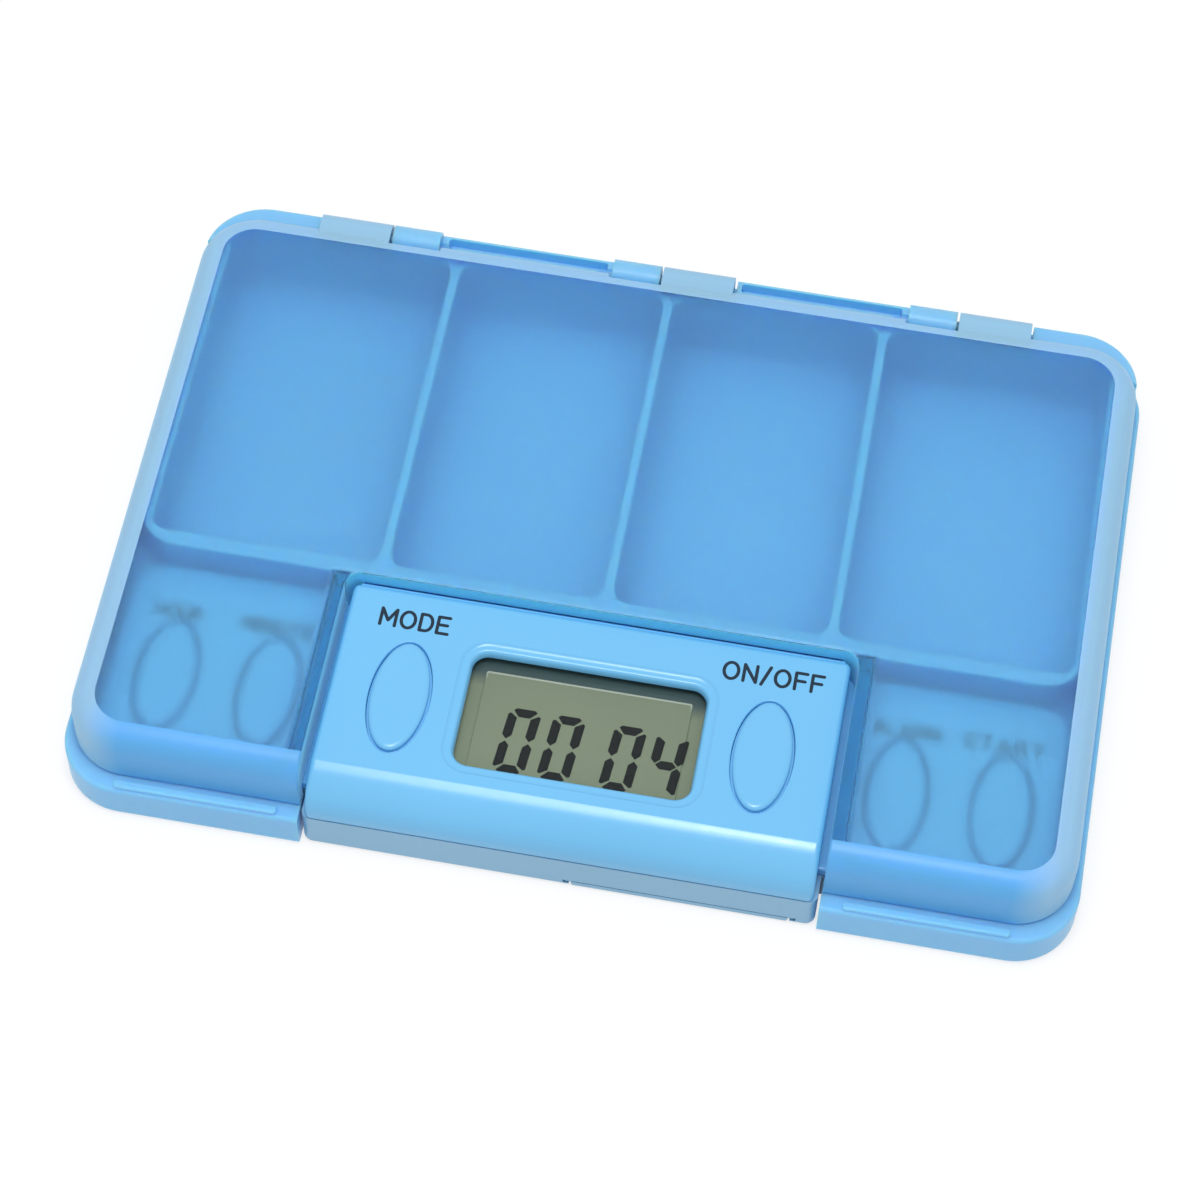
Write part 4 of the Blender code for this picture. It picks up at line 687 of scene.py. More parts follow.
def nose_profile(inset, bottom_z):
    """Side outline of the raised centre: flat panel, crease, and round nose."""
    front = SHELL_FRONT + inset
    back = SHELL_BACK - inset
    top = PANEL_Z - inset
    nose_z = DECK_UNDER_Z + NOSE_RISE
    depth = (CREASE_SETBACK - inset) / (1 - math.cos(CREASE_ANGLE))
    height = (top - nose_z) / math.sin(CREASE_ANGLE)
    points = [(back, bottom_z)]
    for inwards, along in edge_round(MODULE_EDGE):
        points.append((back - inwards, top - MODULE_EDGE + along))
    steps = 2 * CORNER_STEPS
    for i in range(steps + 1):
        angle = CREASE_ANGLE * (1 - i / steps)
        points.append((front + depth * (1 - math.cos(angle)), nose_z + height * math.sin(angle)))
    points.append((front, bottom_z))
    return points


def button_nodes():
    """Each button's node, and the top and underside of the plate round it."""
    made = []
    for side in ("left", "right"):
        for node, plate in (
            (f"button_deck_{side}_outer", DECK_Z),
            (f"button_deck_{side}_inner", DECK_Z),
            (f"button_panel_{side}", PANEL_Z),
        ):
            made.append((node, plate, plate - PANEL_PLATE))
    return made


def button_centre(node):
    """Centre of a button in plan, and the half width and half length of its cap."""
    low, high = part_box(node)
    centre = (low + high) / 2
    half = (high - low) / 2
    return centre.x, centre.y, half.x - BUTTON_FLANGE, half.y - BUTTON_FLANGE


def build_top_shell(finish):
    """The timer's upper casing: raised centre, side decks and openings."""
    loops = []
    for inwards, along in edge_round(MODULE_EDGE):
        outline = nose_profile(MODULE_EDGE - along, DECK_UNDER_Z)
        loops.append([(inwards - MODULE_HALF, y, z) for y, z in outline])
    loops += [[(-x, y, z) for x, y, z in loop] for loop in reversed(loops)]
    shell = new_object("timer_panel", loft(loops))
    join(shell, rounded_block(
        -WING_HALF, WING_HALF, WING_FRONT, WING_BACK, DECK_UNDER_Z, DECK_Z, WING_CORNER, top=DECK_ROUND,
    ))
    lip = MODULE_HALF - MODULE_EDGE
    join(shell, rounded_block(
        -lip, lip, SHELL_BACK - SHELL_WALL, BACK_LIP_Y, DECK_UNDER_Z, BACK_LIP_Z, GAP, top=GAP / 2,
        steps=ROUND_STEPS,
    ))
    inner = MODULE_HALF - SHELL_WALL
    outline = nose_profile(PANEL_PLATE, DECK_UNDER_Z - OVERRUN)
    cut(shell, loft([[(x, y, z) for y, z in outline] for x in (-inner, inner)]))
    cut(shell, window_cutter())
    for node, plate, under in button_nodes():
        x, y, half_width, half_length = button_centre(node)
        groove = BUTTON_GROOVE if plate > DECK_Z else DECK_GROOVE
        cut(shell, groove_cutter(x, y, half_width + groove, half_length + groove, under, plate))
    settle(shell)
    finish_piece(shell, "case", finish, ["timer_top_shell"])


def window_cutter():
    """The display opening, with a rolled edge inside a shallow dished rim."""
    profile = [(0.0, PANEL_Z - PANEL_PLATE - OVERRUN)]
    drop = PANEL_PLATE - WINDOW_LIP_DROP
    for inwards, along in edge_round(1.0):
        profile.append((-WINDOW_LIP * inwards, PANEL_Z - PANEL_PLATE + drop * along))
    steps = 2 * ROUND_STEPS
    for i in range(1, steps + 1):
        share = i / steps
        rise = WINDOW_LIP_DROP * share ** 3
        profile.append((-(WINDOW_LIP + WINDOW_RIM * share), PANEL_Z - WINDOW_LIP_DROP + rise))
    profile.append((-(WINDOW_LIP + WINDOW_RIM), PANEL_Z + OVERRUN))
    return stack(
        -WINDOW_HALF_WIDTH, WINDOW_HALF_WIDTH, WINDOW_FRONT, WINDOW_BACK, WINDOW_CORNER, profile,
    )


def groove_cutter(x, y, half_width, half_length, under, plate):
    """A button's hole, with a small round on its upper edge."""
    rim = BUTTON_GROOVE / 2
    sections = [(half_width, half_length, under - OVERRUN)]
    for inwards, along in edge_round(rim, RIM_STEPS):
        sections.append((half_width + inwards, half_length + inwards, plate - rim + along))
    sections.append((half_width + rim, half_length + rim, plate + OVERRUN))
    return oval(x, y, sections)


def build_bottom_shell(finish):
    """The timer's lower casing: centre tray, wings, battery bay and sound holes."""
    shell = new_object("timer_base", rounded_block(
        -SHELL_HALF, SHELL_HALF, SHELL_FRONT, WING_BACK, SHELL_LIFT, PARTING_Z, SHELL_WALL,
        bottom=SHELL_FOOT_ROUND,
    ))
    join(shell, rounded_block(
        -WING_HALF, WING_HALF, WING_FRONT, WING_BACK, WING_FLOOR_Z, PARTING_Z, WING_CORNER,
    ))
    inner = SHELL_HALF - SHELL_WALL
    cut(shell, box(
        -inner, inner, SHELL_FRONT + SHELL_WALL, WING_BACK - SHELL_WALL, CENTRE_FLOOR_TOP_Z,
        PARTING_Z + OVERRUN,
    ))
    wing = WING_HALF - SHELL_WALL
    cut(shell, rounded_block(
        -wing, wing, WING_FRONT + SHELL_WALL, WING_BACK - SHELL_WALL, WING_FLOOR_TOP_Z,
        PARTING_Z + OVERRUN, WING_CORNER - SHELL_WALL,
    ))
    add_battery_bay(shell)
    for place in ("left", "right"):
        x, y = plan_centre(f"case_screw_{place}")
        join(shell, disc(x, y, ((PAD_RADIUS, SHELL_LIFT + GAP), (PAD_RADIUS, CASE_PAD_Z))))
        cut_screw_seat(shell, x, y, CASE_PAD_Z - SEAT_THICKNESS, CASE_PAD_Z + OVERRUN)
        x, y = plan_centre(f"tray_screw_{place}")
        passage = PAD_RADIUS + GAP
        cut(shell, disc(x, y, ((passage, WING_FLOOR_Z - OVERRUN), (passage, WING_FLOOR_TOP_Z + GAP))))
    add_sound_holes(shell)
    settle(shell)
    finish_piece(shell, "case", finish, ["timer_bottom_shell"])


def add_sound_holes(shell):
    """A ring of holes round a middle one, each widened at its mouth."""
    places = [(0.0, 0.0)]
    for i in range(SOUND_COUNT):
        angle = 2 * math.pi * i / SOUND_COUNT
        places.append((SOUND_RING * math.cos(angle), SOUND_RING * math.sin(angle)))
    for dx, dy in places:
        cut(shell, disc(SOUND_X + dx, SOUND_Y + dy, (
            (SOUND_RADIUS + GAP / 2, -OVERRUN),
            (SOUND_RADIUS + GAP / 2, SHELL_LIFT),
            (SOUND_RADIUS, SHELL_LIFT + GAP / 2),
            (SOUND_RADIUS, CENTRE_FLOOR_TOP_Z + GAP),
        ), SMALL_CIRCLE_STEPS))


def door_middle():
    return (DOOR_LOW.x + DOOR_HIGH.x) / 2


def add_battery_bay(shell):
    """A walled pocket for the two cells, over a grooved recess for the sliding door."""
    x = door_middle()
    tongue = (DOOR_HIGH.x - DOOR_LOW.x) / 2
    wall = tongue + DOOR_RECESS_GAP + BAY_WALL
    back = DOOR_HIGH.y + DOOR_RECESS_GAP
    join(shell, box(
        x - wall, SHELL_HALF - SHELL_WALL / 2, SHELL_FRONT + SHELL_WALL / 2, back + BAY_WALL,
        SHELL_LIFT + GAP, BAY_TOP_Z,
    ))
    half = CELL_HALF_SPACING + CELL_REACH
    cut(shell, rounded_block(
        x - half, x + half, CELL_Y - CELL_REACH, CELL_Y + CELL_REACH, DOOR_HIGH.z,
        BAY_TOP_Z + OVERRUN, CELL_CORNER,
    ))
    recess_top = DOOR_HIGH.z + DOOR_RECESS_GAP
    groove_z = DOOR_HIGH.z - DOOR_TONGUE_THICKNESS - DOOR_RECESS_GAP
    recess = (tongue - DOOR_TONGUE + DOOR_RECESS_GAP, -OVERRUN)
    grooves = (tongue + DOOR_RECESS_GAP, groove_z)
    for half, low in (recess, grooves):
        cut(shell, box(x - half, x + half, SHELL_FRONT - OVERRUN, back, low, recess_top))


def build_battery_door(finish):
    """The sliding door: plate, side tongues, contact pocket and finger grooves."""
    x = door_middle()
    tongue = (DOOR_HIGH.x - DOOR_LOW.x) / 2
    half = tongue - DOOR_TONGUE
    door = new_object("battery_cover", rounded_block(
        x - half, x + half, DOOR_LOW.y, DOOR_HIGH.y, DOOR_LOW.z, DOOR_HIGH.z, GAP, bottom=GAP / 3,
        steps=ROUND_STEPS,
    ))
    join(door, box(
        x - tongue, x + tongue, DOOR_LOW.y + DOOR_RECESS_GAP, DOOR_HIGH.y - DOOR_RECESS_GAP,
        DOOR_HIGH.z - DOOR_TONGUE_THICKNESS, DOOR_HIGH.z - DOOR_TONGUE_THICKNESS / 8,
    ))
    cut(door, box(
        x - BRIDGE_HALF_LENGTH, x + BRIDGE_HALF_LENGTH, CELL_Y - BRIDGE_HALF_WIDTH,
        CELL_Y + BRIDGE_HALF_WIDTH, DOOR_HIGH.z - BRIDGE_DEPTH, DOOR_HIGH.z + OVERRUN,
    ))
    for i in range(GRIP_COUNT):
        y = GRIP_Y + i * GRIP_SPACING
        cut(door, rounded_block(
            x - GRIP_LENGTH / 2, x + GRIP_LENGTH / 2, y, y + GRIP_WIDTH, DOOR_LOW.z - OVERRUN,
            DOOR_LOW.z + GRIP_DEPTH, GRIP_CORNER, steps=ROUND_STEPS,
        ))
    settle(door)
    finish_piece(door, "battery_door", finish, ["battery_door"])


def cap_sections(half_width, half_length, plate, under, top):
    """A cap's sections: flange, step in the groove, rolled crown and slight dish."""
    flange_top = under - GAP
    step = BUTTON_GROOVE - BUTTON_STEP_GAP
    step_z = plate - (BUTTON_STEP_DEPTH if plate > DECK_Z else DECK_STEP_DEPTH)
    sides = (
        (BUTTON_FLANGE, flange_top - BUTTON_FLANGE_THICKNESS),
        (BUTTON_FLANGE, flange_top),
        (step, flange_top + GAP / 10),
        (step, step_z - GAP / 10),
        (0.0, step_z),
    )
    sections = [(half_width + spread, half_length + spread, z) for spread, z in sides]
    base = plate + BUTTON_PROUD - BUTTON_CROWN
    for i in range(CROWN_STEPS + 1):
        angle = math.pi / 2 * i / CROWN_STEPS
        inset = CROWN_SPREAD * (1 - math.cos(angle))
        z = base + (top - base) * math.sin(angle)
        sections.append((half_width - inset, half_length - inset, z))
    for share in DISH_SHARES:
        sections.append((
            (half_width - CROWN_SPREAD) * share, (half_length - CROWN_SPREAD) * share,
            top - BUTTON_DISH * (1 - share * share),
        ))
    return sections


def build_buttons(finish):
    """Oval caps, each with a flange under its plate and a stem down to the keypad."""
    stem_y = plan_centre("keypad_left")[1]
    for node, plate, under in button_nodes():
        x, y, half_width, half_length = button_centre(node)
        low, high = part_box(node)
        sections = cap_sections(half_width, half_length, plate, under, high.z)
        cap = new_object(node.replace("button_", "cap_"), oval(x, y, sections))
        stem = ((BUTTON_STEM_RADIUS, low.z), (BUTTON_STEM_RADIUS, under - GAP - GAP))
        join(cap, disc(x, stem_y, stem, SMALL_CIRCLE_STEPS))
        settle(cap)
        finish_piece(cap, node, finish, [node])


def segment_outlines():
    """The seven bars of a digit, as outlines from its lower left corner."""
    w, h, t, g, c = DIGIT_WIDTH, DIGIT_HEIGHT, DIGIT_STROKE, DIGIT_GAP, DIGIT_CORNER
    m = h / 2
    k = DIGIT_CUT
    top = (
        (c + g + k, h), (w - c - g - k, h), (w - c - g, h - k), (w - t - g, h - t), (t + g, h - t),
        (c + g, h - k),
    )
    upper_left = (
        (0.0, h - c - g - k), (k, h - c - g - k / 2), (t, h - t - g), (t, m + t / 2 + g),
        (t / 2, m + g), (0.0, m + t / 2 + g),
    )
    middle = (
        (t / 2 + g, m), (t + g, m + t / 2), (w - t - g, m + t / 2), (w - t / 2 - g, m),
        (w - t - g, m - t / 2), (t + g, m - t / 2),
    )
    bars = {"a": top, "f": upper_left, "g": middle}
    bars["b"] = tuple((w - x, y) for x, y in upper_left)
    bars["d"] = tuple((x, h - y) for x, y in top)
    bars["e"] = tuple((x, h - y) for x, y in upper_left)
    bars["c"] = tuple((w - x, h - y) for x, y in upper_left)
    return bars


def build_display():
    """The display glass, its front sheet with a chamfered edge, the digits and the lens."""
    # The third colour is painted shade: the glass's rear strip is darkened for the shadow of the
    # window's rear rim, over the glass's own darker rear ledge.
    dress(display_finish("lcd_grey", (0.22, 0.28, 0.19), (0.045, 0.09, 0.095)), "lcd_panel")
    sheet_top = LCD_HIGH.z + COVER_THICKNESS
    x0, x1, y0, y1 = -COVER_HALF_WIDTH, COVER_HALF_WIDTH, LCD_LOW.y + GAP, COVER_BACK
    loops = []
    for inset, z in ((0.0, LCD_HIGH.z), (0.0, sheet_top - COVER_CHAMFER), (COVER_CHAMFER, sheet_top)):
        outline = rounded_rect(x0 + inset, x1 - inset, y0 + inset, y1 - inset, GAP, ROUND_STEPS)
        loops += flat_loops(outline, z)
    sheet = new_object("display_sheet", loft(loops))
    finish_piece(sheet, "case", display_finish("lcd_sheet", (0.22, 0.28, 0.188)))
    bead = new_object("display_bead", bead_solid(sheet_top))
    # The bead's pale colour is a painted highlight: it stands in for the light caught along the sheet's
    # rear edge.
    finish_piece(bead, "case", plastic("lcd_bead_highlight", (0.42, 0.50, 0.42), 0.2))
    digits = new_object("display_digits", digit_solids(sheet_top))
    finish_piece(digits, "case", ink_finish("lcd_ink", (0.012, 0.014, 0.016), 0.35))
    lens = new_object("display_lens", rounded_block(
        LENS_LOW.x, LENS_HIGH.x, LENS_LOW.y, LENS_HIGH.y, LENS_LOW.z, LENS_HIGH.z, LENS_CORNER,
        top=LENS_ROUND, bottom=LENS_ROUND, steps=ROUND_STEPS,
    ))
    clear = see_through("lens_clear", (0.04, 0.06, 0.055), 0.08, 0.05)
    finish_piece(lens, "case", clear, ["lcd_window"])


def digit_solids(foot_z):
    """The lit bars of all the digits, slanted and one ink layer thick."""
    bars = segment_outlines()
    bm = bmesh.new()
    for start, character in zip(DIGIT_STARTS, DIGIT_TEXT):
        for bar in LIT_BARS[character]:
            points = [(start + x + DIGIT_SLANT * y, DIGIT_Y + y) for x, y in bars[bar]]
            add_loft(bm, flat_loops(points, foot_z, foot_z + INK_THICKNESS))
    return bm


def direction(points, i):
    """Unit direction in plan of a path where it passes its point i."""
    before = points[max(i - 1, 0)]
    after = points[min(i + 1, len(points) - 1)]
    return Vector((after[0] - before[0], after[1] - before[1])).normalized()


def bead_solid(foot_z):
    """A low bead along the sheet's rear edge, turned down and thinned at both ends."""
    x = COVER_HALF_WIDTH - BEAD_WIDTH / 2
    y = COVER_BACK - BEAD_WIDTH / 2
    left = [
        (-x, y - BEAD_LEG, 0.15),
        (-x, y - BEAD_LEG / 2, 0.6),
        (-x, y - BEAD_WIDTH / 2, 1.0),
        (-x + BEAD_WIDTH / 4, y, 1.0),
    ]
    path = left + [(-px, py, share) for px, py, share in reversed(left)]
    loops = []
    for i, (px, py, share) in enumerate(path):
        along = direction(path, i)
        loop = []
        for side, rise in BEAD_SECTION:
            reach = side * share * BEAD_WIDTH / 2
            z = foot_z + rise * share * BEAD_HEIGHT
            loop.append((px + along.y * reach, py - along.x * reach, z))
        loops.append(loop)
    return loft(loops)


# Printed words: line strokes as x0, y0, x1, y1; arcs as centre, radii, start and end angle
PANEL_STROKE = 0.20 * MM
DECK_STROKE = 0.14 * MM
LETTER_SPACE = 0.30
LINES = {
    "A": ((0, 0, .36, 1), (.36, 1, .72, 0), (.12, .32, .6, .32)),
    "D": ((0, 0, 0, 1), (0, 1, .28, 1), (0, 0, .28, 0)),
    "E": ((0, 0, 0, 1), (0, 1, .6, 1), (0, .52, .52, .52), (0, 0, .6, 0)),
    "F": ((0, 0, 0, 1), (0, 1, .58, 1), (0, .52, .5, .52)),
    "H": ((0, 0, 0, 1), (.68, 0, .68, 1), (0, .52, .68, .52)),
    "I": ((0, 0, 0, 1),),
    "L": ((0, 1, 0, 0), (0, 0, .54, 0)),
    "M": ((0, 0, 0, 1), (0, 1, .4, .3), (.4, .3, .8, 1), (.8, 1, .8, 0)),
    "N": ((0, 0, 0, 1), (0, 1, .66, 0), (.66, 0, .66, 1)),
    "O": (),
    "R": ((0, 0, 0, 1), (0, 1, .34, 1), (0, .47, .34, .47), (.3, .47, .62, 0)),
    "S": (),
    "T": ((0, 1, .66, 1), (.33, 1, .33, 0)),
    "U": ((0, 1, 0, .33), (.66, .33, .66, 1)),
    "/": ((0, -.05, .4, 1.05),),
}
ARCS = {
    "D": ((.28, .5, .36, .5, -90, 90),),
    "O": ((.38, .5, .38, .5, 0, 180), (.38, .5, .38, .5, 180, 360)),
    "R": ((.34, .735, .26, .265, -90, 90),),
    "S": ((.3, .745, .27, .255, 25, 270), (.3, .245, .28, .245, -155, 90)),
    "U": ((.33, .33, .33, .33, 180, 360),),
}
PANEL_LABELS = (
    ("label_mode", "MODE", -21.65 * MM, FRONT + 24.3 * MM, 8.1 * MM),
    ("label_on_off", "ON/OFF", 21.05 * MM, FRONT + 24.6 * MM, 11.7 * MM),
)
DECK_LABELS = (
    ("label_hour", "HOUR", -50.2 * MM, FRONT + 22.9 * MM, 5.6 * MM),
    ("label_minute", "MINUTE", -38.0 * MM, FRONT + 22.9 * MM, 8.4 * MM),
    ("label_alarm", "ALARM", 37.4 * MM, FRONT + 22.9 * MM, 7.6 * MM),
    ("label_start", "START", 48.9 * MM, FRONT + 22.9 * MM, 9.4 * MM),
)
PANEL_LABEL_HEIGHT = 2.2 * MM
DECK_LABEL_HEIGHT = 1.8 * MM


def letter_strokes(letter):
    """The centre lines of a letter one unit tall."""
    for x0, y0, x1, y1 in LINES[letter]:
        yield [(x0, y0), (x1, y1)]
    for cx, cy, rx, ry, first, last in ARCS.get(letter, ()):
        turns = [first + (last - first) * i / CORNER_STEPS for i in range(CORNER_STEPS + 1)]
        angles = [math.radians(turn) for turn in turns]
        yield [(cx + rx * math.cos(a), cy + ry * math.sin(a)) for a in angles]


def stroke_outline(points, half):
    """The outline of a pen line of even width with round ends."""
    right = []
    left = []
    for i, (x, y) in enumerate(points):
        along = direction(points, i)
        right.append((x + along.y * half, y - along.x * half))
        left.append((x - along.y * half, y + along.x * half))
    end = pen_end(points[-1], points[-2], half)
    start = pen_end(points[0], points[1], half)
    return right + end + left[::-1] + start


def pen_end(tip, inner, half):
    """The half circle that ends a pen line, without its two end points."""
    heading = math.atan2(tip[1] - inner[1], tip[0] - inner[0])
    angles = [heading - math.pi / 2 + math.pi * i / ROUND_STEPS for i in range(1, ROUND_STEPS)]
    return [(tip[0] + half * math.cos(a), tip[1] + half * math.sin(a)) for a in angles]


def build_label(name, words, x, y, width, z, height, stroke, ink):
    """Printed capitals of a given width, centred on x with their foot at y."""
    strokes = []
    pen = 0.0
    for letter in words:
        lines = list(letter_strokes(letter))
        strokes += [[(pen + px, py) for px, py in line] for line in lines]
        pen += max(px for line in lines for px, py in line) + LETTER_SPACE
    stretch = width / (pen - LETTER_SPACE)
    start = x - width / 2
    outlines = []
    for line in strokes:
        points = [(start + px * stretch, y + py * height) for px, py in line]
        outlines.append(stroke_outline(points, stroke))
    bm = bmesh.new()
    for outline in outlines[:-1]:
        add_loft(bm, flat_loops(outline, z, z + INK_THICKNESS))
    label = new_object(name, bm)
    join(label, prism(outlines[-1], z, z + INK_THICKNESS))
    label.modifiers[-1].use_self = True
    settle(label)
    finish_piece(label, "case", ink)


def build_labels(ink):
    for name, words, x, y, width in PANEL_LABELS:
        build_label(name, words, x, y, width, PANEL_Z, PANEL_LABEL_HEIGHT, PANEL_STROKE, ink)
    for name, words, x, y, width in DECK_LABELS:
        build_label(name, words, x, y, width, DECK_Z, DECK_LABEL_HEIGHT, DECK_STROKE, ink)


class Tree:
    """The nodes of a material or world, with short calls to add and link them."""

    def __init__(self, owner):
        owner.use_nodes = True
        self.nodes = owner.node_tree.nodes
        self.links = owner.node_tree.links

    def add(self, kind, **values):
        node = self.nodes.new(kind)
        for key, value in values.items():
            setattr(node, key, value)
        return node

    def link(self, source, target):
        self.links.new(source, target)

    def math(self, operation, *sources):
        """A Math node on sockets and plain numbers."""
        node = self.add("ShaderNodeMath", operation=operation)
        for source, socket in zip(sources, node.inputs):
            if isinstance(source, float):
                socket.default_value = source
            else:
                self.link(source, socket)
        return node.outputs[0]

    def mix(self, share, first, second):
        """Two shaders mixed by a value."""
        node = self.add("ShaderNodeMixShader")
        for source, socket in zip((share, first, second), node.inputs):
            self.link(source, socket)
        return node.outputs[0]

    def glow(self, kind, strength):
        """A white background or emission."""
        node = self.add(kind)
        node.inputs["Color"].default_value = (1.0, 1.0, 1.0, 1.0)
        node.inputs["Strength"].default_value = strength
        return node.outputs[0]


class Nodes(Tree):
    """A material's nodes round its main shader."""

    def __init__(self, name):
        self.material = bpy.data.materials.new(name)
        super().__init__(self.material)
        self.shader = self.nodes["Principled BSDF"]
        self.output = self.nodes["Material Output"]

    def value(self, socket, value):
        self.shader.inputs[socket].default_value = value

    def feed(self, socket, source):
        self.link(source, self.shader.inputs[socket])

    def place(self):
        """A point's place in the object's own metres, so that grain keeps its real size."""
        return self.add("ShaderNodeTexCoord").outputs["Object"]

    def axes(self):
        split = self.add("ShaderNodeSeparateXYZ")
        self.link(self.place(), split.inputs["Vector"])
        return split.outputs

    def noise(self, scale, detail=3.0, roughness=0.5):
        noise = self.add("ShaderNodeTexNoise")
        for socket, value in (("Scale", scale), ("Detail", detail), ("Roughness", roughness)):
            noise.inputs[socket].default_value = value
        self.link(self.place(), noise.inputs["Vector"])
        return noise.outputs["Fac"]

    def ramp(self, source, low, high, low_value=0.0, high_value=1.0):
        """Map a stretch of a value onto a range."""
        made = self.add("ShaderNodeMapRange")
        sockets = ("From Min", "From Max", "To Min", "To Max")
        for socket, value in zip(sockets, (low, high, low_value, high_value)):
            made.inputs[socket].default_value = value
        self.link(source, made.inputs["Value"])
        return made.outputs["Result"]

    def grain(self, noise, low=0.0, high=1.0):
        """The middle of a noise, mapped onto a range."""
        return self.ramp(noise, 0.3, 0.7, low, high)

    def tint(self, source, first, second):
        """Mix two colours by a value."""
        mix = self.add("ShaderNodeMix", data_type="RGBA")
        self.link(source, mix.inputs[0])
        mix.inputs[6].default_value = (*first, 1.0)
        mix.inputs[7].default_value = (*second, 1.0)
        return mix.outputs[2]

    def mottle(self, noise, first, second):
        """A base colour that drifts between two with a noise."""
        self.feed("Base Color", self.tint(self.grain(noise), first, second))

    def bump(self, source, distance, strength=0.3, normal=None):
        made = self.add("ShaderNodeBump")
        made.inputs["Distance"].default_value = distance
        made.inputs["Strength"].default_value = strength
        self.link(source, made.inputs["Height"])
        if normal is not None:
            self.link(normal, made.inputs["Normal"])
        return made.outputs["Normal"]


def darker(color, share):
    return tuple(c * (1 - share) for c in color)


PLASTIC_IOR = 1.46
PLASTIC_BUMP = 0.004 * MM
GLOW_DEPTHS = (0.35, 0.75, 1.0)
LID_IOR = 1.45
LID_ABSORB = (0.07, 0.85, 1.0)
LID_DENSITY = 125.0
SHEEN_ROUGHNESS = 0.45
SHEEN_TINT = (0.45, 0.80, 1.0)


def plastic(name, color, roughness, gloss=0.5, depth=0.0, bump=PLASTIC_BUMP):
    """Moulded plastic: slight flow tints, fine uneven gloss, and a little orange peel."""
    made = Nodes(name)
    made.mottle(made.noise(22.0, 2.0), color, darker(color, 0.05))
    fine = made.noise(900.0, 4.0, 0.6)
    made.feed("Roughness", made.grain(fine, roughness * 0.85, roughness * 1.15))
    peel = made.bump(made.noise(260.0, 2.0), bump * 4, 0.15)
    made.feed("Normal", made.bump(fine, bump, 0.25, peel))
    made.value("Specular IOR Level", gloss)
    made.value("IOR", PLASTIC_IOR)
    if depth:
        made.value("Subsurface Weight", 1.0)
        made.value("Subsurface Radius", GLOW_DEPTHS)
        made.value("Subsurface Scale", depth)
    return made.material


def frosted_plastic(name, tint, smooth_share, frost_share, clarity=1.0, haze=0.42, side_light_tint=None):
    """See-through plastic, frosted inside, whose colour deepens with its thickness."""
    made = Nodes(name)
    made.value("Base Color", (*tint, 1.0))
    axes = made.axes()
    # Painted light: the side and rear walls take a paler tint that stands in for the white backdrop
    # they reflect and the light carried through them.
    if side_light_tint:
        across = made.math("ABSOLUTE", axes["X"])
        side = made.ramp(across, LID_HALF - LID_CORNER, LID_HALF - LID_TOP_ROUND)
        rear = made.ramp(axes["Y"], 0.0, LID_PLATE_BACK - LID_CORNER)
        made.feed("Base Color", made.tint(made.math("MAXIMUM", side, rear), tint, side_light_tint))
    frost_end = LID_CEILING_Z + LID_FROST_DEPTH
    frost = made.ramp(axes["Z"], LID_CEILING_Z, frost_end, frost_share, smooth_share)
    fine = made.grain(made.noise(1100.0, 3.0, 0.6), 0.93, 1.07)
    made.feed("Roughness", made.math("MULTIPLY", frost, fine))
    made.value("Transmission Weight", clarity)
    made.value("IOR", LID_IOR)
    made.value("Sheen Weight", haze)
    made.value("Sheen Roughness", SHEEN_ROUGHNESS)
    made.value("Sheen Tint", (*SHEEN_TINT, 1.0))
    volume = made.add("ShaderNodeVolumeAbsorption")
    volume.inputs["Color"].default_value = (*LID_ABSORB, 1.0)
    volume.inputs["Density"].default_value = LID_DENSITY
    made.link(volume.outputs["Volume"], made.output.inputs["Volume"])
    return made.material


def see_through(name, color, roughness, alpha):
    """A thin clear cover that light passes straight through."""
    made = Nodes(name)
    made.value("Base Color", (*color, 1.0))
    made.feed("Roughness", made.grain(made.noise(700.0, 2.0), roughness * 0.7, roughness * 1.3))
    made.value("Alpha", alpha)
    made.value("Specular IOR Level", 0.3)
    return made.material


def display_finish(name, color, rim_shade=None):
    """A liquid crystal display's grey-green reflector with fine speckle; with rim_shade given, its rear
    strip is darkened: partly the glass's own darker rear ledge, partly painted shade cast by the
    window's rear rim.
    """
    made = Nodes(name)
    speckle = made.noise(9000.0, 2.0, 0.7)
    cloud = made.ramp(made.noise(60.0, 2.0), 0.35, 0.65)
    first = made.tint(cloud, color, darker(color, 0.05))
    # Painted shade: towards the rear the colour ramps to the darker one, standing in for the shadow
    # under the window's rear rim.
    if rim_shade:
        edge = made.add("ShaderNodeMix", data_type="RGBA")
        made.link(made.ramp(made.axes()["Y"], SHADE_START, SHADE_END), edge.inputs[0])
        made.link(first, edge.inputs[6])
        edge.inputs[7].default_value = (*rim_shade, 1.0)
        first = edge.outputs[2]
    mix = made.add("ShaderNodeMix", data_type="RGBA", blend_type="MULTIPLY")
    mix.inputs[0].default_value = 1.0
    made.link(first, mix.inputs[6])
    white = (1.0, 1.0, 1.0)
    made.link(made.tint(made.ramp(speckle, 0.35, 0.65), darker(white, 0.07), white), mix.inputs[7])
    made.feed("Base Color", mix.outputs[2])
    made.feed("Roughness", made.grain(speckle, 0.3, 0.42))
    return made.material


def ink_finish(name, color, roughness):
    made = Nodes(name)
    grain = made.noise(5000.0, 2.0)
    made.mottle(grain, color, tuple(c + 0.012 for c in color))
    made.feed("Roughness", made.grain(grain, roughness * 0.9, roughness * 1.1))
    made.value("Specular IOR Level", 0.1)
    return made.material


def metal(name, color, roughness):
    """Drawn metal with faint scratches and uneven gloss."""
    made = Nodes(name)
    made.value("Metallic", 1.0)
    streak = made.noise(1200.0, 4.0, 0.7)
    made.mottle(streak, color, darker(color, 0.15))
    made.feed("Roughness", made.grain(streak, roughness * 0.7, roughness * 1.4))
    made.feed("Normal", made.bump(streak, 0.003 * MM))
    return made.material


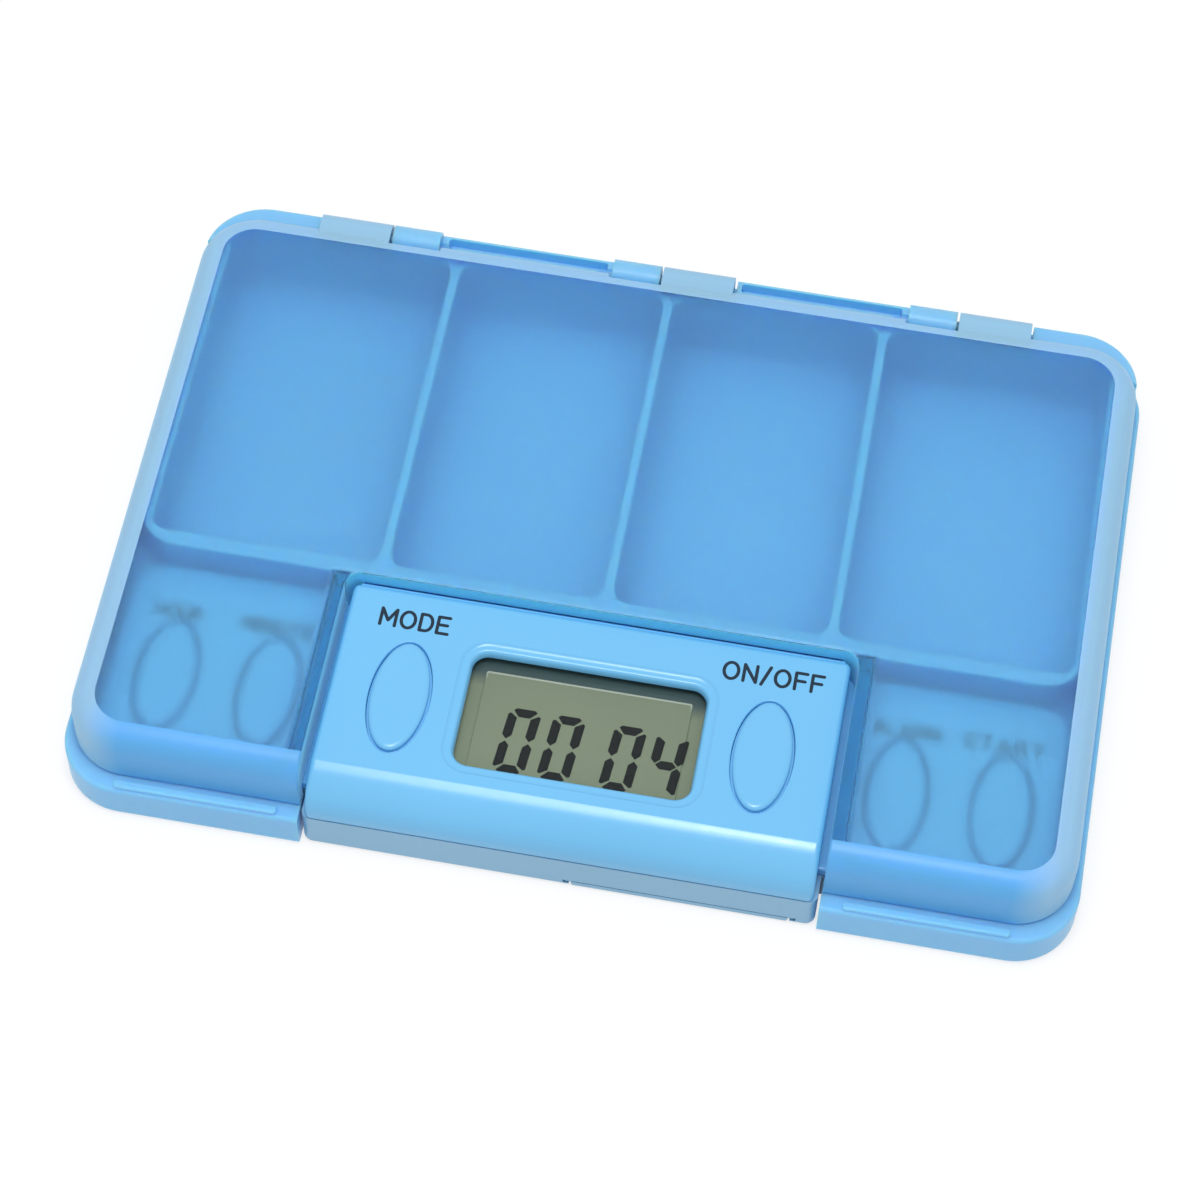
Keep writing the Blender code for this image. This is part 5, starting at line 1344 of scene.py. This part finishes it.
def board_finish(name):
    """Green solder mask over faint copper tracks."""
    made = Nodes(name)
    tracks = made.add("ShaderNodeTexBrick")
    tracks.inputs["Scale"].default_value = 220.0
    tracks.inputs["Color1"].default_value = (0.02, 0.16, 0.06, 1.0)
    tracks.inputs["Color2"].default_value = (0.03, 0.20, 0.08, 1.0)
    tracks.inputs["Mortar"].default_value = (0.05, 0.28, 0.10, 1.0)
    made.link(made.place(), tracks.inputs["Vector"])
    made.feed("Base Color", tracks.outputs["Color"])
    made.feed("Roughness", made.grain(made.noise(800.0, 3.0), 0.25, 0.4))
    return made.material


def dress(finish, *nodes):
    """Give CAD nodes that keep their own shape their material."""
    for node in nodes:
        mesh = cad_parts[node].data
        mesh.materials.clear()
        mesh.materials.append(finish)


def dress_inner_nodes(tray_finish):
    steel = metal("steel", (0.62, 0.62, 0.63), 0.28)
    cell_steel = metal("cell_steel", (0.74, 0.74, 0.73), 0.2)
    rubber = plastic("rubber_grey", (0.22, 0.22, 0.23), 0.75)
    dress(tray_finish, "hinge_pin_left", "hinge_pin_centre", "hinge_pin_right")
    dress(cell_steel, "button_cell_left", "button_cell_right", "contact_bridge")
    dress(steel, "contact_positive", "contact_negative", "crystal_can")
    for screw in ("case_screw", "tray_screw", "board_screw"):
        dress(steel, f"{screw}_left", f"{screw}_right")
    dress(rubber, "zebra_connector", "keypad_left", "keypad_right")
    dress(plastic("holder_white", (0.80, 0.80, 0.78), 0.5), "lcd_holder")
    dress(board_finish("board"), "circuit_board")
    dress(plastic("chip_black", (0.012, 0.012, 0.013), 0.35), "controller_blob")
    dress(metal("brass", (0.80, 0.62, 0.30), 0.3), "piezo_buzzer")


CAMERA_LENS = 108.0
CAMERA_SENSOR = 36.0
CAMERA_ELEVATION = math.radians(58.75)
CAMERA_AZIMUTH = math.radians(8.7)
CAMERA_ROLL = math.radians(1.74)
CAMERA_DISTANCE = 432.99 * MM
CAMERA_TARGET = Vector((-1.32 * MM, FRONT + 35.92 * MM, 6.0 * MM))


def add_camera():
    """The photograph's view: from the front, well above, turned slightly to the right."""
    azimuth, elevation = CAMERA_AZIMUTH, CAMERA_ELEVATION
    back = Vector((
        math.sin(azimuth) * math.cos(elevation),
        -math.cos(azimuth) * math.cos(elevation),
        math.sin(elevation),
    ))
    right = (-back).cross(Vector((0.0, 0.0, 1.0))).normalized()
    up = right.cross(-back)
    across = right * math.cos(CAMERA_ROLL) + up * math.sin(CAMERA_ROLL)
    upward = up * math.cos(CAMERA_ROLL) - right * math.sin(CAMERA_ROLL)
    data = bpy.data.cameras.new("camera")
    data.lens = CAMERA_LENS
    data.sensor_width = CAMERA_SENSOR
    data.clip_start = 0.01
    data.clip_end = 10.0
    camera = bpy.data.objects.new("camera", data)
    turn = Matrix((across, upward, back)).transposed().to_4x4()
    camera.matrix_world = Matrix.Translation(CAMERA_TARGET + back * CAMERA_DISTANCE) @ turn
    bpy.context.scene.collection.objects.link(camera)
    bpy.context.scene.camera = camera


WORLD_LIGHT = 0.55
FLOOR_SIZE = 3.0
FLOOR_DROP = 0.05 * MM
FLOOR_GREY = 0.86
FLOOR_GLOW = 1.08
FLOOR_SEEN_SHARE = 0.50
FLOOR_GLOW_SHARE = 0.17
LAMPS = (
    ("overhead", Vector((0.0, -0.06, 0.46)), 0.20, 1.02),
    ("kicker", Vector((0.016, -0.075, 0.42)), 0.025, 0.14),
)


def seen_ray(tree):
    """1 for rays that show the backdrop itself: camera, glossy and transmission rays."""
    path = tree.add("ShaderNodeLightPath").outputs
    shown = tree.math("MAXIMUM", path["Is Camera Ray"], path["Is Glossy Ray"])
    return tree.math("MAXIMUM", shown, path["Is Transmission Ray"])


def add_world():
    """White to the eye, and plain soft light on the object."""
    world = bpy.data.worlds.new("studio")
    bpy.context.scene.world = world
    tree = Tree(world)
    tree.nodes.clear()
    light = tree.glow("ShaderNodeBackground", WORLD_LIGHT)
    seen = tree.glow("ShaderNodeBackground", 1.0)
    output = tree.add("ShaderNodeOutputWorld")
    tree.link(tree.mix(seen_ray(tree), light, seen), output.inputs["Surface"])


def add_floor():
    """A pale floor that shows as white and keeps a soft shadow of the object."""
    half = FLOOR_SIZE / 2
    bm = bmesh.new()
    corners = ((-half, -half), (half, -half), (half, half), (-half, half))
    bm.faces.new([bm.verts.new((x, y, -FLOOR_DROP)) for x, y in corners])
    mesh = bpy.data.meshes.new("floor")
    bm.to_mesh(mesh)
    bm.free()
    floor = bpy.data.objects.new("floor", mesh)
    bpy.context.scene.collection.objects.link(floor)
    made = bpy.data.materials.new("floor")
    tree = Tree(made)
    tree.nodes.clear()
    matte = tree.add("ShaderNodeBsdfDiffuse")
    matte.inputs["Color"].default_value = (FLOOR_GREY, FLOOR_GREY, FLOOR_GREY, 1.0)
    glow = tree.glow("ShaderNodeEmission", FLOOR_GLOW)
    share = tree.math("MULTIPLY_ADD", seen_ray(tree), FLOOR_SEEN_SHARE, FLOOR_GLOW_SHARE)
    top = tree.mix(share, matte.outputs[0], glow)
    under = tree.add("ShaderNodeBsdfTransparent").outputs[0]
    geometry = tree.add("ShaderNodeNewGeometry")
    output = tree.add("ShaderNodeOutputMaterial")
    tree.link(tree.mix(geometry.outputs["Backfacing"], top, under), output.inputs["Surface"])
    mesh.materials.append(made)


def add_lamp(name, place, size, power):
    """A square soft light that looks at the object."""
    data = bpy.data.lights.new(name, "AREA")
    data.shape = "SQUARE"
    data.size = size
    data.energy = power
    lamp = bpy.data.objects.new(name, data)
    lamp.location = place
    lamp.rotation_mode = "QUATERNION"
    lamp.rotation_quaternion = (-place).to_track_quat("-Z", "Y")
    bpy.context.scene.collection.objects.link(lamp)


def main():
    tray_blue = plastic("tray_blue", (0.25, 0.58, 0.90), 0.32, gloss=0.25, depth=1.5 * MM)
    case_blue = plastic("case_blue", (0.17, 0.53, 0.88), 0.22, bump=0.003 * MM)
    # Painted shade and reflection: the lower casing and battery door get a greyer blue than the upper
    # casing, standing in for the shade and the table's reflection on the casing's front.
    base_blue_shaded = plastic("base_blue_shaded", (0.25, 0.50, 0.72), 0.34)
    lid_blue = frosted_plastic("lid_blue", (0.84, 0.95, 0.975), 0.24, 0.36)
    hinge_blue = plastic("hinge_blue", (0.29, 0.55, 0.78), 0.34)
    # lid_edge's paler side tint is painted light: the reflection of the backdrop and the light carried
    # through the side walls.
    lid_edge = frosted_plastic(
        "lid_edge", (0.15, 0.57, 1.0), 0.4, 0.5, clarity=0.35, haze=0.45, side_light_tint=(0.42, 0.76, 1.0),
    )
    lid_skirt = frosted_plastic("lid_skirt", (0.14, 0.74, 1.0), 0.5, 0.5, clarity=0.25, haze=0.6)
    build_tray(tray_blue)
    build_lid(lid_blue, hinge_blue, lid_edge, lid_skirt)
    build_top_shell(case_blue)
    build_bottom_shell(base_blue_shaded)
    build_battery_door(base_blue_shaded)
    build_buttons(case_blue)
    build_display()
    build_labels(ink_finish("print_ink", (0.015, 0.03, 0.05), 0.45))
    dress_inner_nodes(tray_blue)
    add_camera()
    add_world()
    add_floor()
    for name, place, size, power in LAMPS:
        add_lamp(name, place, size, power)
    bpy.context.scene.view_settings.view_transform = "Standard"


main()
